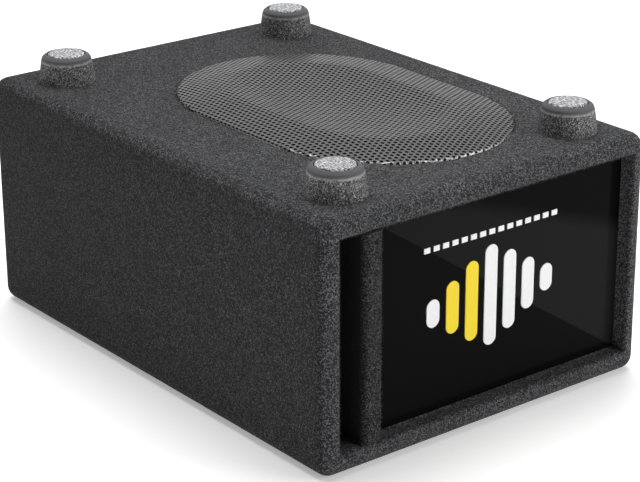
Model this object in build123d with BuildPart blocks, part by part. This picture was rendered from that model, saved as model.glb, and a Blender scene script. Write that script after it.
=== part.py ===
from build123d import *
import os
from math import cos, radians, sin

# Powered car subwoofer, shown feet up. X is the width, Y the length with the front at -Y, Z is up.
# The origin is at the centre of the flat face that it rests on. All sizes are in millimetres.

os.makedirs("parts", exist_ok=True)

# ---- Driving dimensions: the box ----
width = 260.0
length = 365.0
height = 162.0
edge_radius = 10.0
carpet = 1.5
lining = 1.0
board = 10.0
base_board = 13.0
divider_board = 12.0
slot_width = 17.5
front_recess = 10.0
rear_recess = 17.5
plate_thickness = 3.0
port_length = 285.0
base_carpet_height = 10.0

# ---- Driving dimensions: the oval driver ----
driver_x = 14.7
driver_y = -19.0
grille_half_width = 83.5
grille_half_length = 126.6
grille_end = 89.0
grille_sheet = 1.0
grille_rise = 5.0
cone_half_width = 50.0
cone_half_length = 91.0
coil_radius = 16.6
basket_cup_radius = 49.0

# ---- Driving dimensions: feet ----
foot_x = 93.0
foot_front_y = -147.0
foot_rear_y = 142.5
foot_radius = 19.0
foot_height = 18.2
pad_top = 19.3
pad_radius = 12.2
pad_thickness = 4.0

# ---- Driving dimensions: amplifier ----
amp_half_width = 112.0
amp_low = 17.0
amp_high = 145.0
amp_sheet = 2.5
cutout_half_width = 100.0
cutout_low = 25.0
cutout_high = 137.0
knob_row = 122.0
switch_row = 96.0
socket_row = 68.0
power_row = 36.0

# ---- Worked out from them ----
front = -length / 2
rear = length / 2
board_front = front + carpet
board_rear = rear - carpet
board_width = width - 2 * carpet
board_length = length - 2 * carpet
inner_x = board_width / 2 - board
floor = carpet + base_board
ceiling = height - carpet - board
inner_height = ceiling - floor
plate_front = front + front_recess
baffle_front = plate_front + plate_thickness
lined_x = inner_x - lining
slot_right = -lined_x + slot_width
divider_left = slot_right + lining + 0.3
divider_x = divider_left + divider_board / 2
plate_left = divider_left + divider_board + lining + 0.3
plate_low = floor + lining
plate_high = ceiling - lining
amp_back = rear - rear_recess
gasket_thickness = 1.0
panel_back = amp_back - gasket_thickness
amp_face = amp_back + amp_sheet
middle_z = (floor + ceiling) / 2
amp_middle = (amp_low + amp_high) / 2


def driver_plane(z):
    """Level plane at height z, centred on the driver's axis."""
    return Plane((driver_x, driver_y, z))


def at_y(y):
    """Upright plane facing the front at depth y: local x is X, local y is Z."""
    return Plane.XZ.offset(-y)


def oval(half_width, half_length, end, z):
    """Oval with straight long sides of length 2 * (half_length - end) and half-ellipse ends."""
    side = half_length - end
    with BuildSketch(driver_plane(z)) as outline:
        with BuildLine():
            Line((half_width, -side), (half_width, side))
            EllipticalCenterArc((0, side), half_width, end, start_angle=0, arc_size=180)
            Line((-half_width, side), (-half_width, -side))
            EllipticalCenterArc((0, -side), half_width, end, start_angle=180, arc_size=180)
        make_face()
    return outline.sketch


def grille_oval(inset, z):
    """The grille's outline at height z, drawn in by inset."""
    return oval(grille_half_width - inset, grille_half_length - inset, grille_end - inset, z)


def oval_ring(outer_inset, inner_inset, z_low, z_high):
    """Upright ring between two outlines parallel to the grille's."""
    with BuildPart() as ring:
        extrude(grille_oval(outer_inset, z_low), amount=z_high - z_low)
        extrude(grille_oval(inner_inset, z_low), amount=z_high - z_low, mode=Mode.SUBTRACT)
    return ring.part


def ellipse(half_width, half_length, z):
    """Ellipse centred on the driver's axis at height z."""
    with BuildSketch(driver_plane(z)) as outline:
        Ellipse(half_width, half_length)
    return outline.sketch


def disc(radius, z):
    """Circle centred on the driver's axis at height z."""
    with BuildSketch(driver_plane(z)) as outline:
        Circle(radius)
    return outline.sketch


def rounded_box(x_size, y_size, z_low, z_high, radius):
    """Upright box centred on the Z axis with all its edges rounded."""
    with BuildPart() as body:
        with Locations((0, 0, (z_low + z_high) / 2)):
            Box(x_size, y_size, z_high - z_low)
        fillet(body.edges(), radius=radius)
    return body.part


def block(x_low, x_high, y_low, y_high, z_low, z_high):
    """Plain box between two corners."""
    with BuildPart() as body:
        with Locations(((x_low + x_high) / 2, (y_low + y_high) / 2, (z_low + z_high) / 2)):
            Box(x_high - x_low, y_high - y_low, z_high - z_low)
    return body.part


def tube(path, radius):
    """Round wire along a path."""
    with BuildPart() as body:
        with BuildSketch(Plane(origin=path @ 0, z_dir=path % 0)):
            Circle(radius)
        sweep(path=path)
    return body.part


carpet_body = rounded_box(width, length, 0, height, edge_radius)
board_body = rounded_box(board_width, board_length, carpet, height - carpet, edge_radius - carpet)
foot_places = [(x, y) for y in (foot_front_y, foot_rear_y) for x in (-foot_x, foot_x)]
foot_names = ["foot_front_left", "foot_front_right", "foot_rear_left", "foot_rear_right"]
foot_screw_radius = 2.0

# ---- Box panels ----
panel_cut = 5.5
groove_floor = height - carpet - 2.0
edge_gap = 0.3
with BuildPart() as driver_panel:
    with BuildSketch(Plane.XY.offset(ceiling)):
        Rectangle(board_width, board_length)
    extrude(amount=board)
    add(board_body, mode=Mode.INTERSECT)
    extrude(grille_oval(panel_cut, ceiling), amount=board, mode=Mode.SUBTRACT)
    add(oval_ring(-edge_gap, grille_sheet + edge_gap, groove_floor, height - carpet), mode=Mode.SUBTRACT)
    with BuildSketch(Plane.XY.offset(ceiling + 2)):
        with Locations(foot_places):
            Circle(foot_screw_radius)
    extrude(amount=board, mode=Mode.SUBTRACT)

with BuildPart() as base_panel:
    with BuildSketch(Plane.XY.offset(carpet)):
        Rectangle(board_width, board_length)
    extrude(amount=base_board)
    add(board_body, mode=Mode.INTERSECT)


def side_panel(side):
    """Long wall between the base panel and the driver panel; side is -1 on the left, 1 on the right."""
    with BuildPart() as wall:
        with BuildSketch(Plane.XY.offset(floor)):
            with Locations((side * (inner_x + board / 2), 0)):
                Rectangle(board, board_length)
        extrude(amount=inner_height)
        add(board_body, mode=Mode.INTERSECT)
    return wall


left_side_panel = side_panel(-1)
right_side_panel = side_panel(1)

amp_screw_places = [(x, z) for x in (-106.5, -35.5, 35.5, 106.5) for z in (22.0, 140.0)]
amp_screw_places += [(x, 81.0) for x in (-106.5, 106.5)]
amp_screw_radius = 1.7
with BuildPart() as rear_panel:
    with BuildSketch(at_y(panel_back)):
        with Locations((0, middle_z)):
            Rectangle(2 * inner_x, inner_height)
        with Locations((0, amp_middle)):
            Rectangle(2 * cutout_half_width, cutout_high - cutout_low, mode=Mode.SUBTRACT)
        with Locations(amp_screw_places):
            Circle(amp_screw_radius, mode=Mode.SUBTRACT)
    extrude(amount=board)

with BuildPart() as front_baffle:
    with BuildSketch(at_y(baffle_front)):
        with Locations(((divider_left + divider_board + inner_x) / 2, middle_z)):
            Rectangle(inner_x - divider_left - divider_board, inner_height)
    extrude(amount=-board)

divider_round = 3.0
with BuildPart() as port_divider:
    with BuildSketch(Plane.XY.offset(floor)):
        with Locations((divider_x, board_front + port_length / 2)):
            Rectangle(divider_board, port_length)
    extrude(amount=inner_height)
    front_edges = port_divider.edges().filter_by(Axis.Z).group_by(Axis.Y)[0]
    fillet(front_edges, radius=divider_round)

ring_height = 9.0
ring_low = ceiling - ring_height
ring_inset = 14.0
woofer_screw_radius = 1.75
screw_half_width = 72.7
screw_straight = 34.5
screw_end = 80.0
screw_angle = radians(60)
ring_half_width = 92.0
ring_half_length = 134.0
woofer_screw_places = [(x, y) for x in (-screw_half_width, screw_half_width) for y in (-22, 22)]
woofer_screw_places += [
    (sx * screw_half_width * cos(screw_angle), sy * (screw_straight + screw_end * sin(screw_angle)))
    for sx in (-1, 1)
    for sy in (-1, 1)
]
with BuildPart() as driver_ring:
    with BuildSketch(driver_plane(ring_low)):
        Rectangle(2 * ring_half_width, 2 * ring_half_length)
    extrude(amount=ring_height)
    extrude(grille_oval(ring_inset, ring_low), amount=ring_height, mode=Mode.SUBTRACT)
    with BuildSketch(driver_plane(ring_low)):
        with Locations(woofer_screw_places):
            Circle(woofer_screw_radius)
    extrude(amount=ring_height, mode=Mode.SUBTRACT)

# ---- Carpet ----
slot_lining_depth = 25.5
with BuildPart() as carpet_wrap:
    add(carpet_body)
    add(board_body, mode=Mode.SUBTRACT)
    add(block(-inner_x, inner_x, front, board_front, floor, ceiling), mode=Mode.SUBTRACT)
    add(block(-inner_x, inner_x, board_rear, rear, floor, ceiling), mode=Mode.SUBTRACT)
    with BuildSketch(at_y(front)):
        with Locations((0, middle_z)):
            Rectangle(2 * inner_x, inner_height)
            Rectangle(2 * lined_x, inner_height - 2 * lining, mode=Mode.SUBTRACT)
    extrude(amount=-front_recess)
    with BuildSketch(at_y(plate_front)):
        with Locations(((slot_right - inner_x) / 2, middle_z)):
            Rectangle(slot_right + inner_x, inner_height)
        with Locations(((slot_right - lined_x) / 2 + 2, middle_z)):
            Rectangle(slot_right + lined_x + 4, inner_height - 2 * lining, mode=Mode.SUBTRACT)
    extrude(amount=front_recess - slot_lining_depth)
    with BuildSketch(at_y(rear)):
        with Locations((0, middle_z)):
            Rectangle(2 * inner_x, inner_height)
            Rectangle(2 * lined_x, inner_height - 2 * lining, mode=Mode.SUBTRACT)
    extrude(amount=rear - panel_back)
    add(block(slot_right, plate_left, front, front + 30, floor, ceiling), mode=Mode.SUBTRACT)
    extrude(grille_oval(-edge_gap, height - carpet), amount=carpet, mode=Mode.SUBTRACT)
    with BuildSketch(Plane.XY.offset(height)):
        with Locations(foot_places):
            Circle(foot_screw_radius)
    extrude(amount=-carpet, mode=Mode.SUBTRACT)
    add(block(-width, width, -length, length, -1, base_carpet_height), mode=Mode.SUBTRACT)

with BuildPart() as base_carpet:
    add(carpet_body)
    add(board_body, mode=Mode.SUBTRACT)
    add(block(-width, width, -length, length, base_carpet_height, 2 * height), mode=Mode.SUBTRACT)

with BuildPart() as rear_carpet:
    with BuildSketch(at_y(panel_back)):
        with Locations((0, middle_z)):
            Rectangle(2 * lined_x - 0.4, inner_height - 2 * lining - 0.4)
        with Locations((0, amp_middle)):
            Rectangle(2 * amp_half_width + 0.4, amp_high - amp_low + 0.4, mode=Mode.SUBTRACT)
    extrude(amount=-gasket_thickness)

with BuildPart() as divider_carpet:
    with BuildSketch(Plane.XY.offset(plate_low)):
        with Locations(((slot_right + plate_left) / 2, front + slot_lining_depth / 2)):
            Rectangle(plate_left - slot_right, slot_lining_depth)
    extrude(amount=plate_high - plate_low)
    fillet(divider_carpet.edges().filter_by(Axis.Z).group_by(Axis.Y)[0], radius=divider_round + 1.2)
    add(port_divider.part, mode=Mode.SUBTRACT)
    plate_zone = block(divider_x, width, plate_front, 0, 0, height)
    add(plate_zone, mode=Mode.SUBTRACT)

# ---- Gloss plate and its raised emblem: level bars over a row of ticks ----
plate_gap = 0.2
plate_right = lined_x
plate_middle = (plate_left + plate_right) / 2
with BuildPart() as front_plate:
    with BuildSketch(at_y(plate_front)):
        with Locations((plate_middle, middle_z)):
            Rectangle(plate_right - plate_left - 2 * plate_gap, plate_high - plate_low - 2 * plate_gap)
    extrude(amount=-plate_thickness)

bar_heights = [18, 34, 52, 66, 52, 34, 18]
bar_pitch = 15.5
bar_width = 10.0
bar_middle = 81.0
emblem_x = 7.0
emblem_height = 0.6
tick_count = 15
tick_pitch = 7.4
tick_row = 122.5
tick_size = (4.6, 3.4)
with BuildPart() as front_emblem:
    with BuildSketch(at_y(plate_front - emblem_height)):
        for index, bar_height in enumerate(bar_heights):
            with Locations((emblem_x + (index - len(bar_heights) // 2) * bar_pitch, bar_middle)):
                SlotOverall(bar_height, bar_width, rotation=90)
        for index in range(tick_count):
            with Locations((emblem_x + (index - tick_count // 2) * tick_pitch, tick_row)):
                Rectangle(*tick_size)
    extrude(amount=-emblem_height)

# ---- Feet, each held by a screw through the carpet into the driver panel ----
pad_floor = height + pad_top - pad_thickness
washer_seat = height + 7.0
well_radius = 5.2
shank_hole = foot_screw_radius + 0.2
screw_head_height = 3.5
foot_profile = [
    (shank_hole, height),
    (foot_radius, height),
    (foot_radius - 1.9, height + foot_height - 4.2),
    (foot_radius - 2.9, height + foot_height - 1.4),
    (foot_radius - 5.0, height + foot_height),
    (pad_radius + 0.8, height + foot_height),
    (pad_radius + 0.4, pad_floor),
    (well_radius, pad_floor),
    (well_radius, washer_seat),
    (shank_hole, washer_seat),
]


def foot(place):
    """Moulded foot: a tapered round block with a soft shoulder, a pad recess and a screw well."""
    with BuildPart() as moulding:
        with BuildSketch(Plane.XZ):
            with BuildLine():
                Polyline(*foot_profile, close=True)
            make_face()
        revolve(axis=Axis.Z)
        shoulder = moulding.edges().filter_by(GeomType.CIRCLE)
        shoulder = [edge for edge in shoulder if foot_radius - 4 < edge.radius < foot_radius - 1]
        fillet(shoulder, radius=2.2)
    return moulding.part.moved(Location((place[0], place[1], 0)))


feet = [foot(place) for place in foot_places]

with BuildPart() as felt_pads:
    with BuildSketch(Plane.XY.offset(pad_floor)):
        with Locations(foot_places):
            Circle(pad_radius)
    extrude(amount=height + pad_top - pad_floor)
    fillet(felt_pads.faces().filter_by(Axis.Z).group_by(Axis.Z)[-1].edges(), radius=0.8)

with BuildPart() as foot_screws:
    with BuildSketch(Plane.XY.offset(washer_seat)):
        with Locations(foot_places):
            Circle(well_radius - 0.8)
    extrude(amount=screw_head_height)
    with BuildSketch(Plane.XY.offset(washer_seat)):
        with Locations(foot_places):
            Circle(foot_screw_radius)
    extrude(amount=ceiling + 2 - washer_seat)
    with BuildSketch(Plane.XY.offset(washer_seat + screw_head_height)):
        with Locations(foot_places):
            Rectangle(1.2, 6)
            Rectangle(6, 1.2)
    extrude(amount=-1.6, mode=Mode.SUBTRACT)

# ---- Grille: a pressed oval sheet with a raised rim band, a shallow bowl and a turned-down edge ----
rim_z = height + 0.4
ridge_z = height + grille_rise
bowl_z = height + 1.0
ridge_oval = (52.0, 91.0, 56.0)
bowl_oval = (22.0, 52.0, 26.0)


def grille_mound(inset, drop):
    """Solid under the grille's top face: a sloping band up to the ridge, then down into the bowl."""
    with BuildPart() as mound:
        rim = grille_oval(inset, rim_z - drop)
        ridge = oval(*ridge_oval, ridge_z - drop)
        loft([rim.face(), ridge.face()], ruled=True)
        bowl_top = oval(*ridge_oval, ridge_z - drop)
        bowl_bottom = oval(*bowl_oval, bowl_z - drop)
        loft([bowl_top.face(), bowl_bottom.face()], ruled=True, mode=Mode.SUBTRACT)
    return mound.part


with BuildPart() as grille:
    add(grille_mound(0, 0))
    add(grille_mound(0, grille_sheet), mode=Mode.SUBTRACT)
    add(oval_ring(0, grille_sheet, groove_floor + edge_gap, rim_z))

# ---- Driver, from the flange down ----
flange_low = ceiling + 1.0
flange_sheet = 1.2
flange_top = flange_low + flange_sheet
flange_inset = 6.5
basket_sheet = 1.2
aperture = (64.0, 105.0)
cup_top = 108.0
cup_floor = 90.8
plate_low_z = 84.8
magnet_low = 69.8
yoke_low = 63.8
bore_radius = 17.9
pole_radius = 15.7
pole_plate_radius = 45.0
magnet_radius = 50.0
magnet_bore = 25.0
vent_radius = 5.0
spider_z = 104.6
flange_hole = woofer_screw_radius + 0.35
window_low = cup_top + 9.0
window_height = 25.0

with BuildPart() as basket_gasket:
    extrude(grille_oval(flange_inset, ceiling), amount=flange_low - ceiling)
    extrude(grille_oval(ring_inset, ceiling), amount=flange_low - ceiling, mode=Mode.SUBTRACT)
    with BuildSketch(driver_plane(ceiling)):
        with Locations(woofer_screw_places):
            Circle(flange_hole)
    extrude(amount=flange_low - ceiling, mode=Mode.SUBTRACT)

with BuildPart() as woofer_basket:
    extrude(grille_oval(flange_inset, flange_low), amount=flange_sheet)
    outside_top = ellipse(aperture[0] + basket_sheet, aperture[1] + basket_sheet, flange_low)
    outside_low = disc(basket_cup_radius, cup_top)
    loft([outside_top.face(), outside_low.face()])
    extrude(disc(basket_cup_radius, cup_floor), amount=cup_top - cup_floor)
    extrude(ellipse(*aperture, flange_low), amount=flange_sheet, mode=Mode.SUBTRACT)
    inside_top = ellipse(*aperture, flange_low)
    cup_inside = basket_cup_radius - basket_sheet
    inside_low = disc(cup_inside, cup_top)
    loft([inside_top.face(), inside_low.face()], mode=Mode.SUBTRACT)
    cup_depth = cup_top - cup_floor - basket_sheet
    extrude(disc(cup_inside, cup_floor + basket_sheet), amount=cup_depth, mode=Mode.SUBTRACT)
    with BuildSketch(driver_plane(spider_z - 1.6)):
        Circle(cup_inside)
        Circle(cup_inside - 5, mode=Mode.SUBTRACT)
    extrude(amount=basket_sheet)
    with BuildSketch(driver_plane(cup_floor)):
        Circle(bore_radius + 4)
    extrude(amount=basket_sheet, mode=Mode.SUBTRACT)
    with BuildSketch(driver_plane(window_low)):
        with Locations((-80, -36), (80, -36), (-80, 36), (80, 36)):
            Rectangle(110, 52)
        with Locations((0, -100), (0, 100)):
            Rectangle(40, 90)
    extrude(amount=window_height, mode=Mode.SUBTRACT)
    with BuildSketch(driver_plane(flange_low)):
        with Locations(woofer_screw_places):
            Circle(flange_hole)
    extrude(amount=flange_sheet, mode=Mode.SUBTRACT)

woofer_screw_tip = ring_low + 1.5
with BuildPart() as woofer_screws:
    with BuildSketch(driver_plane(flange_top)):
        with Locations(woofer_screw_places):
            Circle(2 * woofer_screw_radius)
    extrude(amount=2)
    with BuildSketch(driver_plane(woofer_screw_tip)):
        with Locations(woofer_screw_places):
            Circle(woofer_screw_radius)
    extrude(amount=flange_top - woofer_screw_tip)

with BuildPart() as top_plate:
    with BuildSketch(driver_plane(plate_low_z)):
        Circle(pole_plate_radius)
        Circle(bore_radius, mode=Mode.SUBTRACT)
    extrude(amount=cup_floor - plate_low_z)

with BuildPart() as magnet:
    with BuildSketch(driver_plane(magnet_low)):
        Circle(magnet_radius)
        Circle(magnet_bore, mode=Mode.SUBTRACT)
    extrude(amount=plate_low_z - magnet_low)
    chamfer(magnet.edges().filter_by(GeomType.CIRCLE), length=1)

with BuildPart() as pole_yoke:
    with BuildSketch(driver_plane(yoke_low)):
        Circle(pole_plate_radius)
    extrude(amount=magnet_low - yoke_low)
    with BuildSketch(driver_plane(magnet_low)):
        Circle(pole_radius)
    extrude(amount=cup_floor - magnet_low)
    with BuildSketch(driver_plane(yoke_low)):
        Circle(vent_radius)
    extrude(amount=cup_floor - yoke_low, mode=Mode.SUBTRACT)

neck_z = 118.0
cone_top = flange_top + 0.3
former_low = 78.0
former_top = 121.0
former_wall = 0.4
winding_low = 81.8
winding_height = 12.0
winding_depth = 0.7
with BuildPart() as voice_coil_former:
    with BuildSketch(driver_plane(former_low)):
        Circle(coil_radius)
        Circle(coil_radius - former_wall, mode=Mode.SUBTRACT)
    extrude(amount=former_top - former_low)

with BuildPart() as voice_coil_winding:
    with BuildSketch(driver_plane(winding_low)):
        Circle(coil_radius + winding_depth)
        Circle(coil_radius, mode=Mode.SUBTRACT)
    extrude(amount=winding_height)

with BuildPart() as spider:
    with BuildSketch(driver_plane(spider_z)):
        Circle(cup_inside - 1)
        Circle(coil_radius + 0.4, mode=Mode.SUBTRACT)
    extrude(amount=1)

paper = 1.0
with BuildPart() as cone:
    cone_rim = ellipse(cone_half_width, cone_half_length, cone_top)
    cone_neck = disc(coil_radius + paper, neck_z)
    loft([cone_rim.face(), cone_neck.face()])
    hollow_rim = ellipse(cone_half_width - paper, cone_half_length - paper, cone_top)
    hollow_neck = disc(coil_radius, neck_z)
    loft([hollow_rim.face(), hollow_neck.face()], mode=Mode.SUBTRACT)

cap_height = 6.0
cap_radius = 18.0
cap_sheet = 0.8
cap_sphere = (cap_radius**2 + cap_height**2) / (2 * cap_height)
with BuildPart() as dust_cap:
    with BuildSketch(Plane((driver_x, driver_y, former_top), x_dir=(1, 0, 0), z_dir=(0, -1, 0))):
        with Locations((0, cap_height - cap_sphere)):
            Circle(cap_sphere)
            Circle(cap_sphere - cap_sheet, mode=Mode.SUBTRACT)
        with Locations((cap_radius, cap_height)):
            Rectangle(2 * cap_radius, 2 * cap_height, mode=Mode.INTERSECT)
    revolve(axis=Axis((driver_x, driver_y, 0), (0, 0, 1)))

land = 4.5
land_thickness = 1.2
roll_low = flange_top + 0.3
roll_foot = roll_low + land_thickness
roll_top = roll_low + 6.0
with BuildPart() as surround:
    extrude(ellipse(aperture[0] + land, aperture[1] + land, roll_low), amount=land_thickness)
    roll_outside = ellipse(*aperture, roll_foot)
    roll_outside_top = ellipse(aperture[0] - 4, aperture[1] - 4, roll_top)
    loft([roll_outside.face(), roll_outside_top.face()])
    hole = ellipse(cone_half_width + 1, cone_half_length + 1, roll_low)
    hole_top = ellipse(cone_half_width + 5, cone_half_length + 5, roll_top)
    loft([hole.face(), hole_top.face()], mode=Mode.SUBTRACT)

strip_low = 94.0
strip_high = 104.0
with BuildPart() as terminal_strip:
    with BuildSketch(driver_plane(strip_low)):
        with Locations((0, basket_cup_radius)):
            Rectangle(28, 8)
        Circle(basket_cup_radius, mode=Mode.SUBTRACT)
    extrude(amount=strip_high - strip_low)

lead_radius = 0.7
lead_offset = 8.0
wire_radius = 1.2
wire_exit_z = 72.0
cover_front = 112.0


def lead(side):
    """Flexible lead from the terminal strip, through the basket's end window, to the cone's back."""
    x = driver_x + side * lead_offset
    points = [(51.4, strip_high), (51.4, 107), (66, 115), (69, 121), (63, 128), (54, 133)]
    with BuildLine(Plane.YZ.offset(x)) as route:
        FilletPolyline(*[(driver_y + y, z) for y, z in points], radius=2.2)
    return tube(route.line, lead_radius)


def supply_wire(side):
    """Wire from the amplifier's cover to the terminal strip."""
    x = driver_x + side * lead_offset
    strip_face = driver_y + basket_cup_radius + 4
    points = [(cover_front, wire_exit_z), (92, wire_exit_z), (66, 84), (48, 99), (strip_face, 99)]
    with BuildLine(Plane.YZ.offset(x)) as route:
        FilletPolyline(*points, radius=8)
    return tube(route.line, wire_radius)


with BuildPart() as tinsel_leads:
    add(lead(-1))
    add(lead(1))

with BuildPart() as speaker_wires:
    add(supply_wire(-1))
    add(supply_wire(1))

wool_size = (185.0, 240.0, 14.4)
with BuildPart() as damping_wool:
    with Locations((driver_x, driver_y, floor + wool_size[2] / 2 + 0.3)):
        Box(*wool_size)
    fillet(damping_wool.edges().filter_by(Axis.Z), radius=20)

# ---- Amplifier ----
knob_x = [14.0, 42.0, 70.0]
shaft_radius = 3.0
phase_x = 14.0
input_x = 42.0
led_x = 91.0
rca_x = [14.0, 36.0]
high_x = 70.0
power_x = 28.0
fuse_x = 71.0
switch_slot = (9.0, 4.0)
board_y = 150.0
board_sheet = 1.6
board_back = board_y + board_sheet
stud_places = [(x, z) for x in (-88.0, 88.0) for z in (34.0, 128.0)]
cover_half_width = cutout_half_width - 1.5
cover_sheet = 1.5
rca_radius = 4.1
terminal_pitch = 15.0
power_xs = [power_x - terminal_pitch, power_x, power_x + terminal_pitch]
amp_hole = amp_screw_radius + 0.4
screw_head = (3.4, 2.2)
screw_grip = 9.0
board_half_width = 94.0
board_height = 100.0

with BuildPart() as amp_gasket:
    with BuildSketch(at_y(panel_back)):
        with Locations((0, amp_middle)):
            Rectangle(2 * amp_half_width, amp_high - amp_low)
        with Locations((0, amp_middle)):
            Rectangle(2 * cutout_half_width, cutout_high - cutout_low, mode=Mode.SUBTRACT)
        with Locations(amp_screw_places):
            Circle(amp_hole, mode=Mode.SUBTRACT)
    extrude(amount=-gasket_thickness)

with BuildPart() as amp_plate:
    with BuildSketch(at_y(amp_back)):
        with Locations((0, amp_middle)):
            RectangleRounded(2 * amp_half_width, amp_high - amp_low, 3)
        with Locations(amp_screw_places):
            Circle(amp_hole, mode=Mode.SUBTRACT)
        with Locations([(x, knob_row) for x in knob_x]):
            Circle(shaft_radius + 0.6, mode=Mode.SUBTRACT)
        with Locations((phase_x, switch_row), (input_x, switch_row)):
            Rectangle(*switch_slot, mode=Mode.SUBTRACT)
        with Locations((led_x, switch_row)):
            Circle(2.5, mode=Mode.SUBTRACT)
        with Locations([(x, socket_row) for x in rca_x]):
            Circle(rca_radius, mode=Mode.SUBTRACT)
        with Locations((high_x, socket_row)):
            Rectangle(24, 12, mode=Mode.SUBTRACT)
        with Locations((power_x, power_row)):
            Rectangle(48, 12, mode=Mode.SUBTRACT)
        with Locations((fuse_x, power_row)):
            Rectangle(24, 9, mode=Mode.SUBTRACT)
    extrude(amount=-amp_sheet)
    chamfer(amp_plate.faces().sort_by(Axis.Y)[-1].outer_wire().edges(), length=0.6)
    with BuildSketch(at_y(board_back)):
        with Locations(stud_places):
            RegularPolygon(3.4, 6)
    extrude(amount=-(amp_back - board_back))
    with BuildSketch(at_y(board_y - 3)):
        with Locations(stud_places):
            Circle(1.5)
    extrude(amount=-(board_back - board_y + 3))

with BuildPart() as amp_screws:
    with BuildSketch(at_y(amp_face)):
        with Locations(amp_screw_places):
            Circle(screw_head[0])
    extrude(amount=-screw_head[1])
    chamfer(amp_screws.faces().filter_by(Axis.Y).group_by(Axis.Y)[-1].edges(), length=0.7)
    with BuildSketch(at_y(panel_back - screw_grip)):
        with Locations(amp_screw_places):
            Circle(amp_screw_radius)
    extrude(amount=-(amp_face - panel_back + screw_grip))
    with BuildSketch(at_y(amp_face + screw_head[1])):
        with Locations(amp_screw_places):
            Rectangle(4, 0.9)
            Rectangle(0.9, 4)
    extrude(amount=1.2, mode=Mode.SUBTRACT)

sink_left = -98.0
sink_right = -12.0
sink_low = 28.0
sink_high = 134.0
sink_base = 3.0
fin_count = 10
fin_thickness = 2.4
fin_depth = 12.5
fin_pitch = (sink_right - sink_left - fin_thickness) / (fin_count - 1)
with BuildPart() as heat_sink:
    with BuildSketch(Plane.XY.offset(sink_low)):
        with Locations(((sink_left + sink_right) / 2, amp_face + sink_base / 2)):
            Rectangle(sink_right - sink_left, sink_base)
        for index in range(fin_count):
            with Locations((sink_left + fin_thickness / 2 + index * fin_pitch, amp_face + fin_depth / 2)):
                Rectangle(fin_thickness, fin_depth)
    extrude(amount=sink_high - sink_low)
    fin_tips = heat_sink.edges().filter_by(Axis.Z).group_by(Axis.Y)[-1]
    fillet(fin_tips, radius=0.8)

with BuildPart() as amp_cover:
    with BuildSketch(at_y(cover_front)):
        with Locations((0, amp_middle)):
            RectangleRounded(2 * cover_half_width, cutout_high - cutout_low - 3, 5)
    extrude(amount=-(amp_back - cover_front))
    back_face = amp_cover.faces().sort_by(Axis.Y)[-1]
    offset(amount=-cover_sheet, openings=back_face)
    with BuildSketch(at_y(cover_front)):
        with Locations([(driver_x + side * lead_offset, wire_exit_z) for side in (-1, 1)]):
            Circle(wire_radius + 0.3)
    extrude(amount=-cover_sheet, mode=Mode.SUBTRACT)

with BuildPart() as circuit_board:
    with BuildSketch(at_y(board_y)):
        with Locations((0, amp_middle)):
            Rectangle(2 * board_half_width, board_height)
        with Locations(stud_places):
            Circle(1.6, mode=Mode.SUBTRACT)
    extrude(amount=-board_sheet)
    with BuildSketch(at_y(board_y)):
        with Locations((-10, 60), (30, 60), (70, 60)):
            Rectangle(14, 10)
        with GridLocations(16, 9, 8, 2):
            with Locations((10, 90)):
                Rectangle(6, 3)
    extrude(amount=2.5)

capacitor_height = 24.0
with BuildPart() as capacitors:
    with BuildSketch(at_y(board_y - capacitor_height)):
        with Locations((-20, 112), (0, 112), (20, 112), (40, 112)):
            Circle(8)
    extrude(amount=-capacitor_height)
    fillet(capacitors.faces().filter_by(Axis.Y).group_by(Axis.Y)[0].edges(), radius=1)

choke_height = 15.0
with BuildPart() as toroid_choke:
    with BuildSketch(at_y(board_y - choke_height)):
        with Locations((-60, 62)):
            Circle(19)
            Circle(8, mode=Mode.SUBTRACT)
    extrude(amount=-choke_height)
    fillet(toroid_choke.edges().filter_by(GeomType.CIRCLE), radius=3.5)

transistor_xs = [-80.0, -62.0, -44.0, -26.0]
transistor_thickness = 4.5
transistor_front = amp_back - transistor_thickness
with BuildPart() as power_transistors:
    with BuildSketch(at_y(transistor_front)):
        with Locations([(x, 118.0) for x in transistor_xs]):
            Rectangle(10, 15)
    extrude(amount=-transistor_thickness)
    with BuildSketch(at_y(board_back)):
        for x in transistor_xs:
            with Locations((x - 2.5, 112), (x, 112), (x + 2.5, 112)):
                Rectangle(0.8, 0.8)
    extrude(amount=-(transistor_front - board_back))

shaft_tip = 160.0
pot_face = 163.0
with BuildPart() as potentiometers:
    with BuildSketch(at_y(board_back)):
        with Locations([(x, knob_row) for x in knob_x]):
            Rectangle(9.5, 11)
    extrude(amount=-(pot_face - board_back))
    with BuildSketch(at_y(pot_face)):
        with Locations([(x, knob_row) for x in knob_x]):
            Circle(shaft_radius + 0.05)
    extrude(amount=pot_face - shaft_tip + 0.2, mode=Mode.SUBTRACT)

knob_radius = 7.0
knob_back = amp_face + 0.6
knob_front = 180.0


def knob(x):
    """Fluted knob with a pointer groove, on its own shaft."""
    with BuildPart() as turned:
        with BuildSketch(at_y(shaft_tip)):
            with Locations((x, knob_row)):
                Circle(shaft_radius)
        extrude(amount=-(knob_back - shaft_tip))
        with BuildSketch(at_y(knob_back)):
            with Locations((x, knob_row)):
                Circle(knob_radius)
        extrude(amount=-(knob_front - knob_back))
        rim = turned.faces().sort_by(Axis.Y)[-1].edges()
        chamfer(rim, length=0.8)
        with BuildSketch(at_y(knob_back + 2)):
            with Locations((x, knob_row)):
                with PolarLocations(knob_radius + 0.25, 18):
                    Circle(0.7)
        extrude(amount=-(knob_front - knob_back - 2), mode=Mode.SUBTRACT)
        with BuildSketch(at_y(knob_front)):
            with Locations((x, knob_row + 3.6)):
                Rectangle(1.2, 4.4)
        extrude(amount=0.7, mode=Mode.SUBTRACT)
    return turned


gain_knob = knob(knob_x[0])
crossover_knob = knob(knob_x[1])
bass_boost_knob = knob(knob_x[2])

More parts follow.
